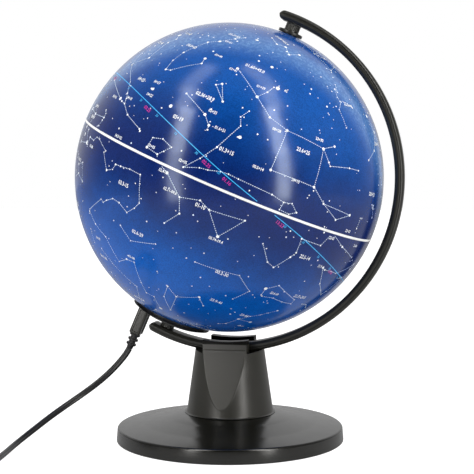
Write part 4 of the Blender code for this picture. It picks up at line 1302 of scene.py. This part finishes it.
# Each panel's name, rise and outward turn in degrees, share of the radiance, and height
STRIP_PANELS = (
    ("low", 2, 0, 1.0, 0.40),
    ("middle", 31, -1, 1.0, 0.36),
    ("upper", 51, 5, 0.52, 0.2),
    ("high", 67, 13, 0.32, 0.3),
)
LIGHT_COLOUR = (1.0, 0.985, 0.95)
LEFT_LOW_SHARE = 0.7
FILL_RADIANCE = 3.0
FILL_LEFT_AZIMUTH = -62
FILL_RIGHT_AZIMUTH = 85
FLOOR_GLOW = 0.17
ROOM_SIDE = 0.27
ROOM_BACK = 0.9
ROOM_LOW = 0.66
ROOM_HIGH = 1.03


def make_floor():
    """A plain white table that shows no horizon."""
    reach = 6.0
    mesh = bpy.data.meshes.new("table")
    mesh.from_pydata([(x * reach, y * reach, -0.02 * MM) for x, y in CORNERS], [], [(0, 1, 2, 3)])
    made, tree, shader = blank("table_white")
    seen = node(tree, "ShaderNodeLightPath").outputs["Is Camera Ray"]
    feed(shader, {
        "Base Color": (0.4, 0.4, 0.4, 1),
        "Roughness": 0.9,
        "Emission Color": (1, 1, 1, 1),
        "Emission Strength": ramp(tree, seen, 0.0, 1.0, FLOOR_GLOW, 1.0, smooth=False),
    })
    mesh.materials.append(made)
    linked("table", mesh)


def make_world():
    """A white room that is brightest high up behind the object and dark behind the viewer."""
    world = bpy.data.worlds.new("studio")
    world.use_nodes = True
    tree = world.node_tree
    way = node(tree, "ShaderNodeTexCoord").outputs["Generated"]
    rearward = (-sin(VIEW_AZIMUTH), cos(VIEW_AZIMUTH), 0)
    depth = vectors(tree, "DOT_PRODUCT", {0: way, 1: rearward}, "Value")
    beside = ramp(tree, depth, -0.62, -0.3, 0.0, ROOM_SIDE)
    behind = math(tree, "ADD", beside, ramp(tree, depth, 0.1, 0.9, 0.0, ROOM_BACK - ROOM_SIDE))
    light = product(tree, behind, ramp(tree, axes(tree, way)[2], 0.0, 0.55, ROOM_LOW, ROOM_HIGH))
    seen = node(tree, "ShaderNodeLightPath").outputs["Is Camera Ray"]
    strength = math(tree, "MAXIMUM", light, seen)
    feed(tree.nodes["Background"], {"Color": (1, 1, 1, 1), "Strength": strength})
    bpy.context.scene.world = world
    bpy.context.scene.view_settings.view_transform = "Standard"


def make_light(name, azimuth, rise, distance, size, radiance):
    """A soft box at an azimuth from the front and an angle above the ball's centre, which it faces."""
    data = bpy.data.lights.new(name, "AREA")
    data.shape = "RECTANGLE"
    data.size, data.size_y = size
    data.energy = radiance * pi * size[0] * size[1]
    data.color = LIGHT_COLOUR
    turn, lift = radians(azimuth), radians(rise)
    away = Vector((sin(turn) * cos(lift), -cos(turn) * cos(lift), sin(lift)))
    light = linked(name, data)
    light.location = GLOBE_CENTRE + away * distance
    light.rotation_mode = "QUATERNION"
    light.rotation_quaternion = (-away).to_track_quat("-Z", "Y")
    return light


def make_lights():
    """Two tall soft boxes, left and right of the viewer, each in four panels, and two soft fills."""
    for side, sign, azimuth in (("left", -1, LEFT_AZIMUTH), ("right", 1, RIGHT_AZIMUTH)):
        for level, rise, splay, share, tall in STRIP_PANELS:
            if (side, level) == ("left", "low"):
                share = LEFT_LOW_SHARE
            turn = azimuth + sign * splay
            size = (STRIP_WIDTH, tall)
            make_light(f"strip_{side}_{level}", turn, rise, STRIP_DISTANCE, size, STRIP_RADIANCE * share)
    rise, distance, size = 5, 1.0, (0.7, 1.0)
    for side, azimuth in (("left", FILL_LEFT_AZIMUTH), ("right", FILL_RIGHT_AZIMUTH)):
        fill = make_light(f"fill_{side}", azimuth, rise, distance, size, FILL_RADIANCE)
        fill.visible_glossy = False


make_camera()
cord, cord_exit, cord_length = make_lead()
lead_rubber = moulded("lead_mould", (0.014, 0.014, 0.015), 0.42, grain=0.3 * MM, depth=0.02 * MM)
plug_rubber = moulded("plug_mould", (0.021, 0.021, 0.017), 0.24, grain=0.3 * MM, depth=0.015 * MM)
plug_piece(plug_rubber)
relief_piece(lead_rubber)
tie, buckle = tie_piece()
grip = far_plug_piece(lead_rubber)

satin = moulded("satin_black", (0.012, 0.012, 0.0095), 0.33, grain=0.4 * MM, depth=0.01 * MM)
foot_black = moulded("foot_black", (0.002, 0.002, 0.001), 0.23, grain=0.4 * MM, depth=0.015 * MM, ior=1.6)
cap_black = moulded("cap_black", (0.003, 0.003, 0.002), 0.45, grain=0.4 * MM, depth=0.01 * MM, ior=1.3)
base_piece(foot_black)
neck_piece(shaded_neck_plastic())
arm_piece(satin)
post_piece("top_fluted_post", 102.5 * MM, POST_END, 4.95 * MM, satin, "top_post")
post_piece("bottom_fluted_post", -POST_END, -101.5 * MM, 4.75 * MM, satin, "bottom_post")
cap_piece(cap_black)
bush_piece(satin)

paint = sky_print()
half_shell("ball_north", NORTH_HOLE, 1, paint, "north_hemisphere")
half_shell("ball_south", SOUTH_HOLE, -1, paint, "south_hemisphere")
band_piece()
ink_white = ink("ink_white", (0.86, 0.9, 0.95))
ink_pale = ink("ink_pale", (0.6, 0.72, 0.88))
ink_cyan = ink("ink_cyan", (0.03, 0.38, 0.8))
ink_magenta = ink("ink_magenta", (0.5, 0.02, 0.28))
figure_pieces(ink_white, ink_pale)
field_piece(ink_white)
label_pieces(ink_white)
ecliptic_pieces(ink_cyan, ink_magenta)
finish_inside()

make_floor()
make_world()
make_lights()
